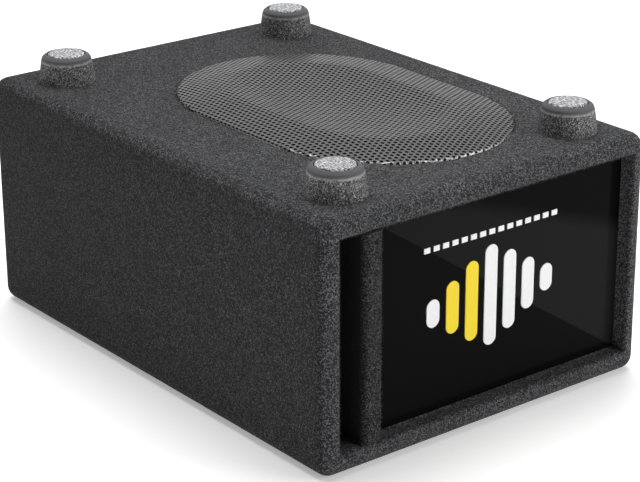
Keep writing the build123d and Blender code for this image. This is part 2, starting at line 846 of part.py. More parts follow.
slider_tip = 171.5
slider_travel = 4.0
slider_foot = 162.0
switch_face = 164.7
with BuildPart() as switch_bodies:
    with BuildSketch(at_y(board_back)):
        with Locations((phase_x, switch_row), (input_x, switch_row)):
            Rectangle(14, 7)
    extrude(amount=-(switch_face - board_back))
    with BuildSketch(at_y(switch_face)):
        with Locations((phase_x, switch_row), (input_x, switch_row)):
            Rectangle(*switch_slot)
    extrude(amount=3, mode=Mode.SUBTRACT)


def slider(x):
    """Slide switch's tab, resting at the low end of its slot."""
    with BuildPart() as tab:
        with BuildSketch(at_y(slider_foot)):
            with Locations((x - slider_travel / 2, switch_row)):
                Rectangle(4, 3.4)
        extrude(amount=-(slider_tip - slider_foot))
        fillet(tab.faces().sort_by(Axis.Y)[-1].edges(), radius=0.4)
    return tab


phase_slider = slider(phase_x)
input_slider = slider(input_x)

rca_tip = 177.0
with BuildPart() as rca_sockets:
    with BuildSketch(at_y(board_back)):
        with Locations([(x, socket_row) for x in rca_x]):
            Rectangle(12, 12)
    extrude(amount=-(amp_back - board_back))
    with BuildSketch(at_y(amp_back)):
        with Locations([(x, socket_row) for x in rca_x]):
            Circle(rca_radius)
    extrude(amount=-(rca_tip - amp_back))
    with BuildSketch(at_y(amp_face)):
        with Locations([(x, socket_row) for x in rca_x]):
            Circle(6.2)
            Circle(rca_radius, mode=Mode.SUBTRACT)
    extrude(amount=-1.5)
    with BuildSketch(at_y(rca_tip)):
        with Locations([(x, socket_row) for x in rca_x]):
            Circle(1.6)
    extrude(amount=9, mode=Mode.SUBTRACT)

socket_size = (23.6, 11.6)
socket_mouth = 174.0
socket_floor = 163.0
with BuildPart() as high_level_socket:
    with BuildSketch(at_y(board_back)):
        with Locations((high_x, socket_row)):
            Rectangle(*socket_size)
    extrude(amount=-(socket_mouth - board_back))
    with BuildSketch(at_y(socket_mouth)):
        with Locations((high_x, socket_row)):
            Rectangle(20, 8)
    extrude(amount=socket_mouth - socket_floor, mode=Mode.SUBTRACT)
    with BuildSketch(at_y(socket_floor)):
        with Locations((high_x, socket_row)):
            with GridLocations(5, 1, 4, 1):
                Rectangle(1.2, 1.2)
    extrude(amount=-8)

block_back = 176.0
with BuildPart() as power_terminal_block:
    with BuildSketch(at_y(board_back)):
        with Locations((power_x, power_row)):
            Rectangle(47.6, 11.6)
    extrude(amount=-(block_back - board_back))
    for x in power_xs:
        pocket = block(x - 5.5, x + 5.5, amp_face + 1, block_back + 1, power_row - 4, power_row + 7)
        add(pocket, mode=Mode.SUBTRACT)

terminal_face = amp_face + 2.0
terminal_head = 2.4
with BuildPart() as terminal_screws:
    with BuildSketch(at_y(amp_face + 1)):
        with Locations([(x, power_row) for x in power_xs]):
            Rectangle(9, 6)
    extrude(amount=-1)
    with BuildSketch(at_y(terminal_face)):
        with Locations([(x, power_row) for x in power_xs]):
            Circle(3)
    extrude(amount=-terminal_head)
    with BuildSketch(at_y(terminal_face + terminal_head)):
        with Locations([(x, power_row) for x in power_xs]):
            Rectangle(5, 0.9)
            Rectangle(0.9, 5)
    extrude(amount=1.2, mode=Mode.SUBTRACT)

holder_back = 171.0
holder_floor = 162.0
with BuildPart() as fuse_holder:
    with BuildSketch(at_y(board_back)):
        with Locations((fuse_x, power_row)):
            Rectangle(23.6, 8.6)
    extrude(amount=-(holder_back - board_back))
    with BuildSketch(at_y(holder_back)):
        with Locations((fuse_x, power_row)):
            Rectangle(20, 5.4)
    extrude(amount=holder_back - holder_floor, mode=Mode.SUBTRACT)

fuse_blades = 4.0
with BuildPart() as fuse:
    with BuildSketch(at_y(holder_floor + fuse_blades)):
        with Locations((fuse_x, power_row)):
            Rectangle(19, 4.8)
    extrude(amount=-12)
    fillet(fuse.edges().filter_by(Axis.Y), radius=0.8)
    with BuildSketch(at_y(holder_floor)):
        with Locations((fuse_x - 7, power_row), (fuse_x + 7, power_row)):
            Rectangle(4.6, 0.8)
    extrude(amount=-fuse_blades)

led_radius = 2.45
with BuildPart() as power_led:
    with BuildSketch(at_y(amp_back - 6)):
        with Locations((led_x, switch_row)):
            Circle(led_radius)
    extrude(amount=-10.5)
    fillet(power_led.faces().sort_by(Axis.Y)[-1].edges(), radius=2.2)

# ---- Written files: one STEP for each piece ----
pieces = {
    "driver_panel": driver_panel.part,
    "driver_ring": driver_ring.part,
    "base_panel": base_panel.part,
    "left_side_panel": left_side_panel.part,
    "right_side_panel": right_side_panel.part,
    "rear_panel": rear_panel.part,
    "front_baffle": front_baffle.part,
    "port_divider": port_divider.part,
    "carpet_wrap": carpet_wrap.part,
    "base_carpet": base_carpet.part,
    "rear_carpet": rear_carpet.part,
    "divider_carpet": divider_carpet.part,
    "front_plate": front_plate.part,
    "front_emblem": front_emblem.part,
    "felt_pads": felt_pads.part,
    "foot_screws": foot_screws.part,
    "grille": grille.part,
    "basket_gasket": basket_gasket.part,
    "woofer_basket": woofer_basket.part,
    "woofer_screws": woofer_screws.part,
    "top_plate": top_plate.part,
    "magnet": magnet.part,
    "pole_yoke": pole_yoke.part,
    "voice_coil_former": voice_coil_former.part,
    "voice_coil_winding": voice_coil_winding.part,
    "spider": spider.part,
    "cone": cone.part,
    "dust_cap": dust_cap.part,
    "surround": surround.part,
    "terminal_strip": terminal_strip.part,
    "tinsel_leads": tinsel_leads.part,
    "speaker_wires": speaker_wires.part,
    "damping_wool": damping_wool.part,
    "amp_gasket": amp_gasket.part,
    "amp_plate": amp_plate.part,
    "amp_screws": amp_screws.part,
    "heat_sink": heat_sink.part,
    "amp_cover": amp_cover.part,
    "circuit_board": circuit_board.part,
    "capacitors": capacitors.part,
    "toroid_choke": toroid_choke.part,
    "power_transistors": power_transistors.part,
    "potentiometers": potentiometers.part,
    "gain_knob": gain_knob.part,
    "crossover_knob": crossover_knob.part,
    "bass_boost_knob": bass_boost_knob.part,
    "switch_bodies": switch_bodies.part,
    "phase_slider": phase_slider.part,
    "input_slider": input_slider.part,
    "rca_sockets": rca_sockets.part,
    "high_level_socket": high_level_socket.part,
    "power_terminal_block": power_terminal_block.part,
    "terminal_screws": terminal_screws.part,
    "fuse_holder": fuse_holder.part,
    "fuse": fuse.part,
    "power_led": power_led.part,
}
pieces.update(zip(foot_names, feet))
for name, piece in pieces.items():
    piece.label = name
    export_step(piece, f"parts/{name}.step")
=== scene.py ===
import math

import bpy
import numpy as np
from mathutils import Matrix, Vector


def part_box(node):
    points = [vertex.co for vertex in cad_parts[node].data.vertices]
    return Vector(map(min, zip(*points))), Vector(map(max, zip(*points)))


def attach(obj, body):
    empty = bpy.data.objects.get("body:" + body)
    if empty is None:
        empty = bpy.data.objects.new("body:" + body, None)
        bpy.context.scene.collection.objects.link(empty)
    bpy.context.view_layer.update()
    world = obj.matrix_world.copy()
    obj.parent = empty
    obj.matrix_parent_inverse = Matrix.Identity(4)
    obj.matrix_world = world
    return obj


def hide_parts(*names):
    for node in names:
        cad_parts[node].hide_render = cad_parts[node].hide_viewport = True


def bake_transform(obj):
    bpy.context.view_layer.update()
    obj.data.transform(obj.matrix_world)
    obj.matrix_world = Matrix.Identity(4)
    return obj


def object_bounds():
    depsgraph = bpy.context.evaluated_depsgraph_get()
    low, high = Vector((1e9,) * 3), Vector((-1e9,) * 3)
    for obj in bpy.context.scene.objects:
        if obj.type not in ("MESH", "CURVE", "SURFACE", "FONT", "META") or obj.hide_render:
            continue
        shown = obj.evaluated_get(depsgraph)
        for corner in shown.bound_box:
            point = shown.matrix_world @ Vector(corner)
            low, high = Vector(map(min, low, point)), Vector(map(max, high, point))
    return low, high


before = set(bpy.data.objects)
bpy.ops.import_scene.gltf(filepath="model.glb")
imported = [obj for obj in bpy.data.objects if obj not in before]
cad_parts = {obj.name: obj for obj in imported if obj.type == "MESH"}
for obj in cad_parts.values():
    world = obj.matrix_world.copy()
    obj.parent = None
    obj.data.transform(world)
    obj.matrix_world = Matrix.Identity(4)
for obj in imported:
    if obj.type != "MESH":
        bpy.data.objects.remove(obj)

cad_low, cad_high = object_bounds()
MM = 0.001
BODY = "box"
rng = np.random.default_rng(7)

# ---- Sizes in metres, worked out from the frame ----
width = cad_high.x - cad_low.x
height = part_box("carpet_wrap")[1].z
centre_z = height / 2
front = cad_low.y
rear = cad_high.y
edge_radius = 10 * MM
carpet_thickness = 0.9 * MM
lining_inset = 12.5 * MM
grille_low, grille_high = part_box("grille")
driver_x = (grille_low.x + grille_high.x) / 2
driver_y = (grille_low.y + grille_high.y) / 2
plate_low, plate_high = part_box("front_plate")


def added(name, data):
    """New object of the scene, with the given data."""
    made = bpy.data.objects.new(name, data)
    bpy.context.scene.collection.objects.link(made)
    return made


# ---- Camera ----
def camera_at(place, yaw, pitch, roll, lens):
    """Camera at a point: yaw turns the view from +Y towards +X, pitch tips it down, roll leans it."""
    forward = Vector(
        (math.sin(yaw) * math.cos(pitch), math.cos(yaw) * math.cos(pitch), -math.sin(pitch))
    )
    level = Vector((math.cos(yaw), -math.sin(yaw), 0))
    down = forward.cross(level)
    right = level * math.cos(roll) + down * math.sin(roll)
    up = level * math.sin(roll) - down * math.cos(roll)
    data = bpy.data.cameras.new("camera")
    data.lens = lens
    data.sensor_width = 36
    data.clip_end = 20
    camera = added("camera", data)
    turn = Matrix((right, up, -forward)).transposed()
    camera.matrix_world = Matrix.Translation(place) @ turn.to_4x4()
    bpy.context.scene.camera = camera


camera_at(
    Vector((-0.82095, -1.05505, 0.58659)),
    math.radians(38.27), math.radians(21.301), math.radians(0.249), 120.75,
)


# ---- Meshes ----
def mesh_piece(name, points, faces, material, body=BODY, smooth=True):
    """New piece from an array of points and an array of quads or triangles, riding on a body."""
    data = bpy.data.meshes.new(name)
    data.from_pydata(np.asarray(points, float).tolist(), [], np.asarray(faces, int).tolist())
    data.polygons.foreach_set("use_smooth", np.full(len(data.polygons), smooth))
    data.materials.append(material)
    data.validate()
    piece = added(name, data)
    if body:
        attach(piece, body)
    return piece


def grid_faces(rows, columns, close_rows=False, close_columns=False):
    """Quads of a grid stored row by row; a closed direction joins its last line to its first."""
    i = np.arange(rows if close_rows else rows - 1)
    j = np.arange(columns if close_columns else columns - 1)
    i, j = np.meshgrid(i, j, indexing="ij")
    next_i, next_j = (i + 1) % rows, (j + 1) % columns
    quads = np.stack(
        [i * columns + j, i * columns + next_j, next_i * columns + next_j, next_i * columns + j], -1
    )
    return quads.reshape(-1, 4)


def solidify(piece, thickness):
    """Gives a sheet its thickness, inwards from its outer face."""
    modifier = piece.modifiers.new("thickness", "SOLIDIFY")
    modifier.thickness = thickness
    modifier.offset = -1.0


def value_noise(points, cell, seed):
    """Smooth noise from -1 to 1: random values on a cubic lattice of the given cell, blended between."""
    q = np.asarray(points, float) / cell
    base = np.floor(q).astype(np.int64)
    part = q - base
    part = part * part * (3 - 2 * part)
    total = np.zeros(len(q))
    for corner in range(8):
        step = np.array([corner >> 2 & 1, corner >> 1 & 1, corner & 1])
        key = base + step
        mixed = (key[:, 0] * 73856093) ^ (key[:, 1] * 19349663) ^ (key[:, 2] * 83492791) ^ seed
        mixed = (mixed * 2654435761) & 0xFFFFFFFF
        mixed = ((mixed ^ (mixed >> 15)) * 2246822519) & 0xFFFFFFFF
        weight = np.prod(np.where(step, part, 1 - part), axis=1)
        total += weight * (mixed / 0xFFFFFFFF * 2 - 1)
    return total


# ---- Materials ----
class Shader:
    """A material's node tree, with short calls to add and join nodes."""

    def __init__(self, name):
        self.material = bpy.data.materials.new(name)
        self.material.use_nodes = True
        self.tree = self.material.node_tree
        self.surface = self.tree.nodes["Principled BSDF"]
        self.place = self.tree.nodes.new("ShaderNodeTexCoord").outputs["Object"]

    def add(self, kind, settings=(), **sockets):
        """Node of a kind, with its properties and its input sockets set or linked."""
        made = self.tree.nodes.new("ShaderNode" + kind)
        for key, value in dict(settings).items():
            setattr(made, key, value)
        for key, value in sockets.items():
            self.put(made, key.replace("_", " "), value)
        return made

    def put(self, made, socket, value):
        """Sets one input, by name or number, to a constant or to another node's output."""
        socket = int(socket[1:]) if socket[0] == "n" and socket[1:].isdigit() else socket
        target = made.inputs[socket]
        if isinstance(value, bpy.types.NodeSocket):
            self.tree.links.new(value, target)
        else:
            target.default_value = value

    def math(self, operation, a, b=0.0, c=0.0):
        """One arithmetic node."""
        return self.add("Math", {"operation": operation}, n0=a, n1=b, n2=c).outputs[0]

    def scaled(self, scale, turn=(0, 0, 0)):
        """The object's own coordinates, turned and scaled."""
        return self.add("Mapping", Vector=self.place, Scale=scale, Rotation=turn).outputs[0]

    def noise(self, scale, detail=2.0, vector=None, rough=0.5):
        """Noise value; scale is in cycles per metre."""
        return self.add(
            "TexNoise", Vector=vector or self.place, Scale=scale, Detail=detail, Roughness=rough
        ).outputs["Fac"]

    def ramp(self, value, *stops):
        """Colour ramp through (position, grey or colour) stops."""
        made = self.add("ValToRGB", Fac=value)
        points = made.color_ramp.elements
        while len(points) < len(stops):
            points.new(0.5)
        for point, (position, shade) in zip(points, stops):
            point.position = position
            colour = shade if isinstance(shade, tuple) else (shade, shade, shade)
            point.color = (*colour, 1)
        return made.outputs[0]

    def rise(self, value, start, end, low=0.0, high=1.0):
        """Low up to a start, high from an end on, and a straight line between them."""
        return self.add(
            "MapRange", Value=value, From_Min=start, From_Max=end, To_Min=low, To_Max=high
        ).outputs[0]

    def mix(self, factor, a, b):
        """Blend of two colours."""
        made = self.add("Mix", {"data_type": "RGBA"}, n0=factor)
        for index, value in ((6, a), (7, b)):
            if isinstance(value, bpy.types.NodeSocket):
                self.tree.links.new(value, made.inputs[index])
            else:
                made.inputs[index].default_value = (*value, 1)
        return made.outputs[2]

    def axes(self):
        """Separate x, y and z outputs of the object's coordinates."""
        return self.add("SeparateXYZ", Vector=self.place).outputs

    def bump(self, value, strength, distance, under=None):
        """Bump from a value, on top of another bump where one is given."""
        made = self.add("Bump", Height=value, Strength=strength, Distance=distance)
        if under is not None:
            self.tree.links.new(under, made.inputs["Normal"])
        return made.outputs[0]

    def finish(self, colour, roughness, metallic=0.0, normal=None, **more):
        """Joins the parts to the surface and returns the material."""
        plain = isinstance(colour, tuple)
        self.put(self.surface, "Base Color", (*colour, 1) if plain else colour)
        self.put(self.surface, "Roughness", roughness)
        self.put(self.surface, "Metallic", metallic)
        if normal is not None:
            self.put(self.surface, "Normal", normal)
        for key, value in more.items():
            self.put(self.surface, key.replace("_", " "), value)
        return self.material


def carpet_cloth(name, shade):
    """
    Charcoal needle felt: a mat of dark fibres with scattered light flecks. On the left side the
    cloth is painted darker with fainter flecks, as painted shade; towards the rear it is also darker
    with fainter flecks. The lining inside the port is painted near black, as painted shade.
    """
    s = Shader(name)
    x, y, z = s.axes()
    mat = s.noise(1150, 3, rough=0.75)
    fine = s.noise(2300, 2, rough=0.7)
    cloud = s.noise(30, 3)
    coarse_cells = s.add("TexVoronoi", Vector=s.place, Scale=1300.0, Randomness=1.0)
    small_cells = s.add("TexVoronoi", Vector=s.place, Scale=2100.0, Randomness=1.0)
    coarse = s.add("SeparateColor", Color=coarse_cells.outputs["Color"]).outputs[0]
    small = s.add("SeparateColor", Color=small_cells.outputs["Color"]).outputs[1]
    flecks = s.math(
        "ADD", s.ramp(coarse, (0.66, 0.0), (0.93, 0.7), (1.0, 1.0)),
        s.ramp(small, (0.68, 0.0), (0.94, 0.8), (1.0, 1.0)),
    )
    # Painted shade: the left side is darker, with fainter flecks; the cloth also darkens towards the
    # rear.
    left_painted_shade = s.rise(x, 1 * MM - width / 2, 2.67 * MM - width / 2, 0.55)
    forward = s.rise(y, 250 * MM, -204.5 * MM, 0.55)
    strength = s.math("MULTIPLY", left_painted_shade, forward)
    dark = s.ramp(mat, (0.32, 0.002 * shade), (0.50, 0.020 * shade), (0.68, 0.050 * shade))
    pale = tuple(part * shade for part in (0.046, 0.046, 0.050))
    fibres = s.mix(s.ramp(fine, (0.36, 0.0), (0.68, 0.6)), dark, pale)
    even = s.mix(strength, tuple(part * shade for part in (0.007, 0.007, 0.0075)), fibres)
    fleck = tuple(part * (0.4 + 0.6 * shade) for part in (0.25, 0.25, 0.265))
    flecked = s.mix(s.math("MULTIPLY", flecks, strength), even, fleck)
    wear_and_painted_light = s.mix(s.ramp(cloud, (0.4, 0.0), (0.7, 0.22)), flecked, (0.02, 0.02, 0.021))
    lining_low, lining_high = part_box("divider_carpet")
    # Painted shade: the lining inside the port's mouth is made near black.
    on_wall = s.rise(y, front + 1.35 * MM, front + 5.19 * MM)
    on_floor = s.rise(y, front + 9.77 * MM, front + 18.86 * MM)
    above_floor = s.math("GREATER_THAN", z, lining_low.z + 1.2 * MM)
    inward = s.mix(above_floor, on_floor, on_wall)
    limits = (
        s.math("GREATER_THAN", x, lining_inset - width / 2 - 0.4 * MM),
        s.math("LESS_THAN", x, lining_low.x + 4 * MM),
        s.math("LESS_THAN", y, 0.0),
        s.math("LESS_THAN", z, lining_high.z + 0.4 * MM),
        s.math("GREATER_THAN", z, lining_low.z - 0.4 * MM),
    )
    port = inward
    for limit in limits:
        port = s.math("MULTIPLY", port, limit)
    colour = s.mix(port, wear_and_painted_light, (0.003, 0.003, 0.003))
    pile = s.bump(mat, 0.8, 0.0012)
    pile = s.bump(fine, 0.5, 0.0005, pile)
    return s.finish(
        colour, 0.96, normal=pile, Sheen_Weight=0.06, Sheen_Roughness=0.5, Specular_IOR_Level=0.12
    )


def gloss_panel():
    """
    High-gloss black sheet with a painted highlight, a lighter band that stands in for a reflection:
    it lies above the diagonal that falls from the top left corner, and fades out above a line that
    falls half as steeply. The painted highlight grows brighter towards the right.
    """
    s = Shader("gloss_panel")
    x, _, z = s.axes()
    fall = (plate_high.z - plate_low.z) / (plate_high.x - plate_low.x)
    across = s.math("SUBTRACT", x, plate_low.x)
    over_diagonal = s.math("SUBTRACT", z, s.math("MULTIPLY_ADD", across, -fall, plate_high.z))
    shallow = fall * 0.5
    shallow_start = plate_high.z + shallow * 63 * MM
    under_shallow = s.math("SUBTRACT", s.math("MULTIPLY_ADD", across, -shallow, shallow_start), z)
    sharp_edge = s.rise(over_diagonal, 0.0, 0.4 * MM)
    faded_edge = s.rise(under_shallow, -2.22 * MM, 8.89 * MM)
    # Painted highlight: the lighter band on the plate, brighter towards the right.
    painted_highlight = s.math("MULTIPLY", sharp_edge, faded_edge)
    scuff = s.noise(60, 4, rough=0.6)
    bright = s.rise(across, 0.0, 200 * MM, 0.0115, 0.0150)
    colour = s.mix(painted_highlight, (0.0046, 0.0046, 0.0048), bright)
    rough = s.ramp(scuff, (0.3, 0.05), (0.75, 0.11))
    return s.finish(colour, rough, Specular_IOR_Level=0.012)


def emblem_print():
    """White raised bars, with two yellow ones; the row of small squares above the bars stays white."""
    s = Shader("emblem_print")
    low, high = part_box("front_emblem")
    x, _, z = s.axes()
    middle = (low.x + high.x) / 2
    pitch = 15.5 * MM
    bars_top = 118 * MM
    left = s.math("GREATER_THAN", x, middle - 2.5 * pitch)
    right = s.math("LESS_THAN", x, middle - 0.5 * pitch)
    under = s.math("LESS_THAN", z, bars_top)
    accent = s.math("MULTIPLY", s.math("MULTIPLY", left, right), under)
    grain = s.noise(900, 2)
    white = s.mix(grain, (0.80, 0.80, 0.80), (0.88, 0.88, 0.88))
    colour = s.mix(accent, white, (0.87, 0.66, 0.01))
    return s.finish(colour, 0.38, Specular_IOR_Level=0.3)


def foot_moulding():
    """Speckled rough moulding with a smoother rim round the pad and a painted highlight on its edge."""
    s = Shader("foot_moulding")
    z = s.axes()[2]
    rim_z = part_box("foot_front_left")[1].z - 4.4 * MM
    rim = s.rise(z, rim_z, rim_z + 1.11 * MM)
    # Painted highlight: a pale band round the edge of the rim, broken up by noise.
    lip_rise = s.rise(z, rim_z - 0.7 * MM, rim_z + 1.63 * MM)
    lip = s.ramp(lip_rise, (0, 0.0), (0.4, 1.0), (1, 0.0))
    cells = s.add("TexVoronoi", Vector=s.place, Scale=1900.0)
    tone = s.add("SeparateColor", Color=cells.outputs["Color"]).outputs[0]
    grain = s.noise(1500, 2, rough=0.7)
    speckle = s.ramp(tone, (0.0, 0.016), (0.45, 0.075), (0.85, 0.25), (1.0, 0.55))
    soft = s.mix(grain, (0.075, 0.075, 0.079), (0.125, 0.125, 0.13))
    wear_and_painted_light = s.ramp(s.noise(420, 3, rough=0.7), (0.35, 0.25), (0.6, 1.0))
    colour = s.mix(s.math("MULTIPLY", lip, wear_and_painted_light), s.mix(rim, speckle, soft), (0.42, 0.42, 0.44))
    bumps = s.bump(tone, 0.5, 0.0006)
    return s.finish(colour, 0.78, normal=s.bump(grain, 0.3, 0.0003, bumps), Specular_IOR_Level=0.3)


def pad_felt():
    """Light grey felt with a matted, fibrous face."""
    s = Shader("pad_felt")
    streaks = s.noise(900, 4, s.scaled((1.0, 0.45, 1.0), (0, 0, 0.6)), 0.7)
    fine = s.noise(2600, 2)
    colour = s.ramp(
        streaks, (0.40, (0.04, 0.04, 0.045)), (0.5, (0.27, 0.27, 0.29)), (0.58, (0.80, 0.80, 0.85))
    )
    nap = s.bump(fine, 0.4, 0.0004, s.bump(streaks, 0.8, 0.0008))
    return s.finish(colour, 0.95, normal=nap, Sheen_Weight=0.4, Sheen_Roughness=0.5)


def grille_metal():
    """Satin grey painted steel, with a painted highlight where the sheet is bent down."""
    s = Shader("grille_metal")
    smear = s.noise(140, 3)
    grain = s.noise(3200, 1)
    highlight_breakup = s.noise(900, 3, rough=0.7)
    bend = s.add("Attribute", {"attribute_name": "bend"}).outputs["Fac"]
    x, y, _ = s.axes()
    # Painted highlight on the bend: strongest towards the front and the left, broken up by noise.
    front_part = s.rise(y, 11.1 * MM, -100 * MM, 0.1)
    left_part = s.rise(x, 72.2 * MM, 16.7 * MM, 0.25)
    painted_highlight_zone = s.math("MULTIPLY", bend, s.math("MULTIPLY", front_part, left_part))
    bend_painted_highlight = s.math("MULTIPLY", painted_highlight_zone, s.ramp(highlight_breakup, (0.3, 0.4), (0.5, 1.0)))
    paint = s.mix(smear, (0.045, 0.045, 0.046), (0.064, 0.064, 0.065))
    rough = s.ramp(smear, (0.3, 0.38), (0.7, 0.46))
    colour = s.mix(bend_painted_highlight, paint, (0.82, 0.82, 0.82))
    return s.finish(colour, rough, 0.4, s.bump(grain, 0.12, 0.0001), Specular_IOR_Level=0.4)


def fibreboard():
    """Raw fibreboard, painted near black as painted shade round the port's mouth and the driver's
    opening.
    """
    s = Shader("fibreboard")
    x, y, z = s.axes()
    fibres = s.noise(700, 3, s.scaled((1.0, 0.35, 1.0)))
    board = s.mix(fibres, (0.34, 0.22, 0.12), (0.52, 0.37, 0.22))
    # Painted shade: near black inside the port and along the front, fading out towards the box's middle,
    # and round the driver's opening.
    wander = s.math("MULTIPLY", s.noise(40, 2), 0.05)
    deep = s.math("ADD", s.math("SUBTRACT", -0.02, y), wander)
    side = s.math("SUBTRACT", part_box("port_divider")[1].x + 0.5 * MM, x)
    port = s.math("MULTIPLY", s.rise(deep, 0.0, 40 * MM), s.rise(side, 0.0, 0.5 * MM))
    mouth = s.math("LESS_THAN", y, front + 22 * MM)
    oval_x = s.math("POWER", s.math("DIVIDE", s.math("SUBTRACT", x, driver_x), 90 * MM), 2)
    oval_y = s.math("POWER", s.math("DIVIDE", s.math("SUBTRACT", y, driver_y), 134 * MM), 2)
    oval = s.math("LESS_THAN", s.math("ADD", oval_x, oval_y), 1.0)
    opening = s.math("MULTIPLY", oval, s.math("GREATER_THAN", z, height - 25 * MM))
    painted_shade = s.math("MAXIMUM", port, s.math("MAXIMUM", mouth, opening))
    colour = s.mix(painted_shade, board, (0.006, 0.006, 0.006))
    return s.finish(colour, 0.85, normal=s.bump(fibres, 0.2, 0.0003), Specular_IOR_Level=0.2)


def enamel(name, colour, roughness, grain_scale=1800.0, depth=0.00008, metallic=0.0, spread=0.25):
    """Painted, plated or moulded skin: a base colour that drifts a little, with a fine grain."""
    s = Shader(name)
    drift = s.noise(95, 3)
    grain = s.noise(grain_scale, 2)
    lighter = tuple(min(1.0, part * (1 + spread) + 0.004) for part in colour)
    rough = s.ramp(drift, (0.3, max(0.02, roughness - 0.06)), (0.7, min(1.0, roughness + 0.08)))
    return s.finish(s.mix(drift, colour, lighter), rough, metallic, s.bump(grain, 0.25, depth))


def brushed(name, colour, roughness, stretch=(1.0, 1.0, 0.04)):
    """Metal with fine lines drawn along one axis."""
    s = Shader(name)
    lines = s.noise(5200, 2, s.scaled(stretch))
    drift = s.noise(70, 2)
    darker = tuple(part * 0.78 for part in colour)
    rough = s.ramp(lines, (0.3, roughness - 0.08), (0.7, roughness + 0.1))
    return s.finish(s.mix(drift, darker, colour), rough, 1.0, s.bump(lines, 0.15, 0.00005))


def cone_paper():
    """Pressed black pulp with pale stray fibres."""
    s = Shader("cone_paper")
    pulp = s.noise(420, 5, rough=0.7)
    strays = s.noise(1500, 1, s.scaled((1.0, 0.2, 1.0), (0, 0, 0.9)))
    colour = s.mix(s.ramp(strays, (0.62, 0.0), (0.75, 0.6)), (0.018, 0.018, 0.019), (0.09, 0.09, 0.09))
    return s.finish(colour, 0.8, normal=s.bump(pulp, 0.5, 0.0005))


def soft_rubber():
    """Black rubber with a faint dusty bloom."""
    s = Shader("soft_rubber")
    bloom = s.noise(55, 4)
    colour = s.mix(s.ramp(bloom, (0.4, 0.0), (0.8, 1.0)), (0.012, 0.012, 0.012), (0.03, 0.03, 0.031))
    return s.finish(colour, s.ramp(bloom, (0.3, 0.42), (0.7, 0.6)), normal=s.bump(bloom, 0.1, 0.0003))


def woven(name, colour, pitch):
    """Open woven cloth: two crossing sets of threads."""
    s = Shader(name)
    x, y, _ = s.axes()
    turns = 2 * math.pi / pitch
    warp = s.math("SINE", s.math("MULTIPLY", x, turns))
    weft = s.math("SINE", s.math("MULTIPLY", y, turns))
    threads = s.math("MULTIPLY", warp, weft)
    darker = tuple(part * 0.55 for part in colour)
    shade = s.rise(threads, -1.0, 1.0)
    return s.finish(s.mix(shade, darker, colour), 0.85, normal=s.bump(threads, 0.6, 0.0004))


def copper_winding():
    """Enamelled copper: fine turns round the axis."""
    s = Shader("copper_winding")
    z = s.axes()[2]
    turns = s.math("SINE", s.math("MULTIPLY", z, 2 * math.pi / 0.00055))
    drift = s.noise(120, 2)
    colour = s.mix(drift, (0.50, 0.17, 0.06), (0.72, 0.30, 0.12))
    return s.finish(colour, 0.32, 0.9, s.bump(turns, 0.7, 0.0002))


def wadding():
    """White polyester wadding."""
    s = Shader("wadding")
    tufts = s.noise(120, 6, rough=0.8)
    colour = s.mix(tufts, (0.55, 0.55, 0.52), (0.86, 0.86, 0.84))
    return s.finish(colour, 0.98, normal=s.bump(tufts, 1.0, 0.003), Sheen_Weight=0.4)


def wire_jackets():
    """Red insulation on one wire and black on the other."""
    s = Shader("wire_jackets")
    x = s.axes()[0]
    black = s.math("GREATER_THAN", x, driver_x)
    grain = s.noise(600, 2)
    red = s.mix(grain, (0.36, 0.012, 0.01), (0.48, 0.02, 0.015))
    return s.finish(s.mix(black, red, (0.012, 0.012, 0.012)), 0.45, normal=s.bump(grain, 0.1, 0.0001))


def circuit_green():
    """Green solder mask with pale pads and tracks."""
    s = Shader("circuit_green")
    tracks = s.add("TexVoronoi", {"feature": "DISTANCE_TO_EDGE"}, Vector=s.place, Scale=210.0)
    line = s.ramp(tracks.outputs[0], (0.0, 1.0), (0.05, 0.0))
    colour = s.mix(line, (0.008, 0.075, 0.03), (0.03, 0.20, 0.08))
    return s.finish(colour, 0.35, normal=s.bump(line, 0.2, 0.0001))


def clear_red():
    """Translucent coloured plastic of a blade fuse."""
    s = Shader("clear_red")
    flow = s.noise(240, 2)
    colour = s.mix(flow, (0.50, 0.035, 0.015), (0.72, 0.07, 0.02))
    return s.finish(colour, 0.18, Transmission_Weight=0.25, IOR=1.49)


def lamp_lens():
    """Blue diffusing lens."""
    s = Shader("lamp_lens")
    haze = s.noise(500, 2)
    colour = s.mix(haze, (0.05, 0.20, 0.55), (0.10, 0.34, 0.80))
    return s.finish(colour, 0.2, Transmission_Weight=0.3, IOR=1.5)


def studio_floor():
    """Plain pale floor, lit a little from below as a light table is."""
    s = Shader("studio_floor")
    cloud = s.noise(3, 2)
    white = s.mix(cloud, (0.90, 0.90, 0.90), (0.92, 0.92, 0.92))
    glow = {"Emission_Color": (1, 1, 1, 1), "Emission_Strength": 0.32}
    return s.finish(white, 0.9, Specular_IOR_Level=0.1, **glow)


